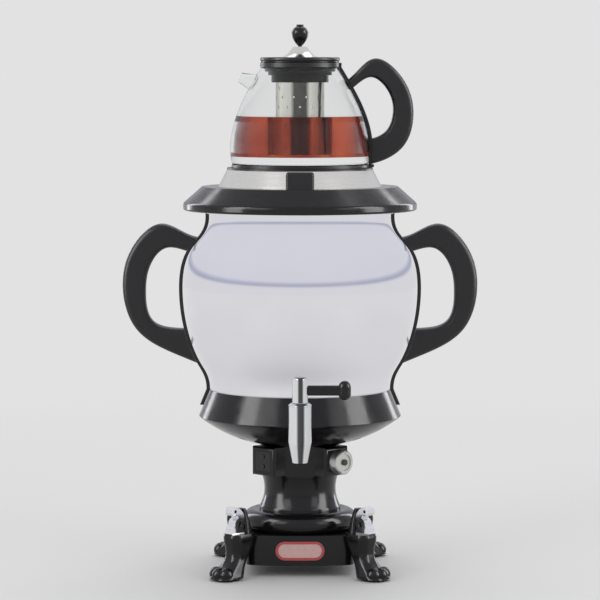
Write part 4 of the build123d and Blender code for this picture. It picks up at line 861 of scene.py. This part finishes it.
class SAMOVAR_OT_infuser(bpy.types.Operator):
    """Finishes the infuser, the teapot's lid, its cap and finial"""

    bl_idname = "samovar.infuser"
    bl_label = "Infuser and pot lid"

    def execute(self, context):
        scene = context.scene
        steel = scene.samovar_colours.tray_steel
        dress(satin_black(scene), "pot_lid")
        eased(scene, "infuser_collar", gloss_black(scene))
        drawn = lathe_brushed_steel("basket_steel", steel, low=0.12, high=0.2)
        # The basket's steel gets painted reflections: a dark strip down its middle between
        # lighter ones
        dress(painted_light_strips(drawn, toned(steel, BASKET_PAINTED_REFLECTIONS)), "infuser_basket")
        dress(lathe_brushed_steel("cap_steel", steel, low=0.12, high=0.2), "lid_cap")
        dress(gloss_black(scene), "finial")
        return {"FINISHED"}


class SAMOVAR_OT_stage(bpy.types.Operator):
    """Lays the floor, hangs the lights and sets the camera"""

    bl_idname = "samovar.stage"
    bl_label = "Stage"

    def execute(self, context):
        scene = context.scene
        scene.view_settings.view_transform = "Standard"
        self.lay_floor(scene)
        self.light_world(scene)
        self.hang_lights(scene)
        self.set_camera(scene)
        return {"FINISHED"}

    def lay_floor(self, scene):
        """A round sheet of pale paper that fades into the backdrop well behind the samovar."""
        base = scene.samovar_colours.floor
        mesh = bmesh.new()
        bmesh.ops.create_circle(
            mesh, cap_ends=True, segments=FLOOR_SEGMENTS, radius=FLOOR_RADIUS
        )
        data = bpy.data.meshes.new("floor")
        mesh.to_mesh(data)
        mesh.free()
        floor = bpy.data.objects.new("floor", data)
        scene.collection.objects.link(floor)
        material, tree, shader, place = surface("studio_paper", base, Roughness=0.7)
        output = next(node for node in tree.nodes if node.type == "OUTPUT_MATERIAL")
        distance = add_node(
            tree, "ShaderNodeVectorMath", links={0: place}, operation="LENGTH"
        )
        fade = add_node(
            tree,
            "ShaderNodeMapRange",
            {"From Min": FADE_FROM, "From Max": FADE_TO},
            {"Value": distance.outputs["Value"]},
            interpolation_type="SMOOTHSTEP",
        )
        paper = add_node(tree, "ShaderNodeEmission", {"Color": (*base, 1), "Strength": 1.0})
        mix = add_node(
            tree,
            "ShaderNodeMixShader",
            links={
                0: fade.outputs["Result"],
                1: shader.outputs["BSDF"],
                2: paper.outputs["Emission"],
            },
        )
        tree.links.new(mix.outputs["Shader"], output.inputs["Surface"])
        data.materials.append(material)

    def light_world(self, scene):
        """A plain pale backdrop; reflections show the room: floor, dark joint, cool wall."""
        world = bpy.data.worlds.new("studio")
        scene.world = world
        world.use_nodes = True
        tree = world.node_tree
        tree.nodes.clear()
        direction = add_node(tree, "ShaderNodeTexCoord").outputs["Generated"]
        height = add_node(
            tree, "ShaderNodeSeparateXYZ", links={"Vector": direction}
        ).outputs["Z"]
        ranged = add_node(
            tree,
            "ShaderNodeMapRange",
            {"From Min": -1.0, "From Max": 1.0},
            {"Value": height},
        )
        stops = [((sine + 1) / 2, linear(hex_colour)) for sine, hex_colour in ROOM]
        ramp = colour_ramp(tree, stops, ranged.outputs["Result"])
        studio = add_node(
            tree,
            "ShaderNodeBackground",
            {"Strength": ROOM_STRENGTH},
            {"Color": ramp.outputs["Color"]},
        )
        backdrop = add_node(
            tree,
            "ShaderNodeBackground",
            {"Color": (*scene.samovar_colours.floor, 1), "Strength": 1.0},
        )
        path = add_node(tree, "ShaderNodeLightPath")
        reflected = add_node(
            tree,
            "ShaderNodeMath",
            links={0: path.outputs["Is Glossy Ray"], 1: path.outputs["Is Transmission Ray"]},
            operation="SUBTRACT",
            use_clamp=True,
        )
        mix = add_node(
            tree,
            "ShaderNodeMixShader",
            links={
                0: reflected.outputs["Value"],
                1: backdrop.outputs["Background"],
                2: studio.outputs["Background"],
            },
        )
        add_node(tree, "ShaderNodeOutputWorld", links={"Surface": mix.outputs["Shader"]})

    def hang_lights(self, scene):
        """Soft boxes that light the set, and tall cards that only the black pieces mirror."""
        mirrors = self.linked("kept_off_mirrors", self.mirrors(), "EXCLUDE")
        blacks = self.linked("black_pieces", self.black_pieces(scene), "INCLUDE")
        for box in SOFT_BOXES:
            self.hang(scene, *box).light_linking.receiver_collection = mirrors
        for card in BLACK_CARDS:
            lamp = self.hang(scene, *card)
            lamp.visible_diffuse = False
            lamp.light_linking.receiver_collection = blacks

    def hang(self, scene, name, place, width, height, watts):
        """One rectangular lamp that faces the middle of the samovar."""
        light = bpy.data.lights.new(name, "AREA")
        light.shape = "RECTANGLE"
        light.size = width
        light.size_y = height
        light.energy = watts
        lamp = bpy.data.objects.new(name, light)
        scene.collection.objects.link(lamp)
        lamp.location = place
        lamp.visible_camera = False
        aim = Vector(LAMP_AIM) - lamp.location
        lamp.rotation_euler = aim.to_track_quat("-Z", "Y").to_euler()
        return lamp

    def mirrors(self):
        """The mirror-bright pieces that a soft box is kept off, so that it leaves no glare."""
        return [frame["nodes"][node] for node in ("tank", "pot_glass")]

    def black_pieces(self, scene):
        """Every piece of the samovar in one of the two black plastics."""
        blacks = (gloss_black(scene), satin_black(scene))
        found = []
        for piece in scene.objects:
            if any(slot.material in blacks for slot in piece.material_slots):
                found.append(piece)
        return found

    def linked(self, name, pieces, state):
        """A collection of pieces for light linking, all with one state."""
        links = bpy.data.collections.new(name)
        for piece in pieces:
            links.objects.link(piece)
        for entry in links.collection_objects:
            entry.light_linking.link_state = state
        return links

    def set_camera(self, scene):
        """Straight in front at the height of the lid, looking slightly down."""
        data = bpy.data.cameras.new("camera")
        data.sensor_width = CAMERA_SENSOR
        data.lens = CAMERA_LENS
        camera = bpy.data.objects.new("camera", data)
        scene.collection.objects.link(camera)
        camera.location = CAMERA_PLACE
        aim = Vector(CAMERA_AIM) - camera.location
        camera.rotation_euler = aim.to_track_quat("-Z", "Y").to_euler()
        scene.camera = camera


class SAMOVAR_PT_panel(bpy.types.Panel):
    """Lists the samovar's operators, sizes, roundings and colours"""

    bl_idname = "SAMOVAR_PT_panel"
    bl_label = "Samovar"
    bl_space_type = "VIEW_3D"
    bl_region_type = "UI"
    bl_category = "Samovar"

    def draw(self, context):
        for operator in OPERATORS:
            self.layout.operator(operator.bl_idname)
        scene = context.scene
        for group in (scene.samovar_sizes, scene.samovar_edges, scene.samovar_colours):
            for name in group.__annotations__:
                self.layout.prop(group, name)


GROUPS = (SamovarSizes, SamovarEdges, SamovarColours)
OPERATORS = (
    SAMOVAR_OT_base,
    SAMOVAR_OT_inner_works,
    SAMOVAR_OT_controls,
    SAMOVAR_OT_tank,
    SAMOVAR_OT_tap,
    SAMOVAR_OT_lid,
    SAMOVAR_OT_teapot,
    SAMOVAR_OT_infuser,
    SAMOVAR_OT_stage,
)


def register():
    for group in (*GROUPS, *OPERATORS, SAMOVAR_PT_panel):
        bpy.utils.register_class(group)
    bpy.types.Scene.samovar_sizes = bpy.props.PointerProperty(type=SamovarSizes)
    bpy.types.Scene.samovar_edges = bpy.props.PointerProperty(type=SamovarEdges)
    bpy.types.Scene.samovar_colours = bpy.props.PointerProperty(type=SamovarColours)


def unregister():
    del bpy.types.Scene.samovar_colours
    del bpy.types.Scene.samovar_edges
    del bpy.types.Scene.samovar_sizes
    for group in reversed((*GROUPS, *OPERATORS, SAMOVAR_PT_panel)):
        bpy.utils.unregister_class(group)


def main():
    """Makes the samovar and its stage."""
    register()
    for operator in OPERATORS:
        group, name = operator.bl_idname.split(".")
        getattr(getattr(bpy.ops, group), name)()
    bpy.context.view_layer.update()


if __name__ == "__main__":
    main()
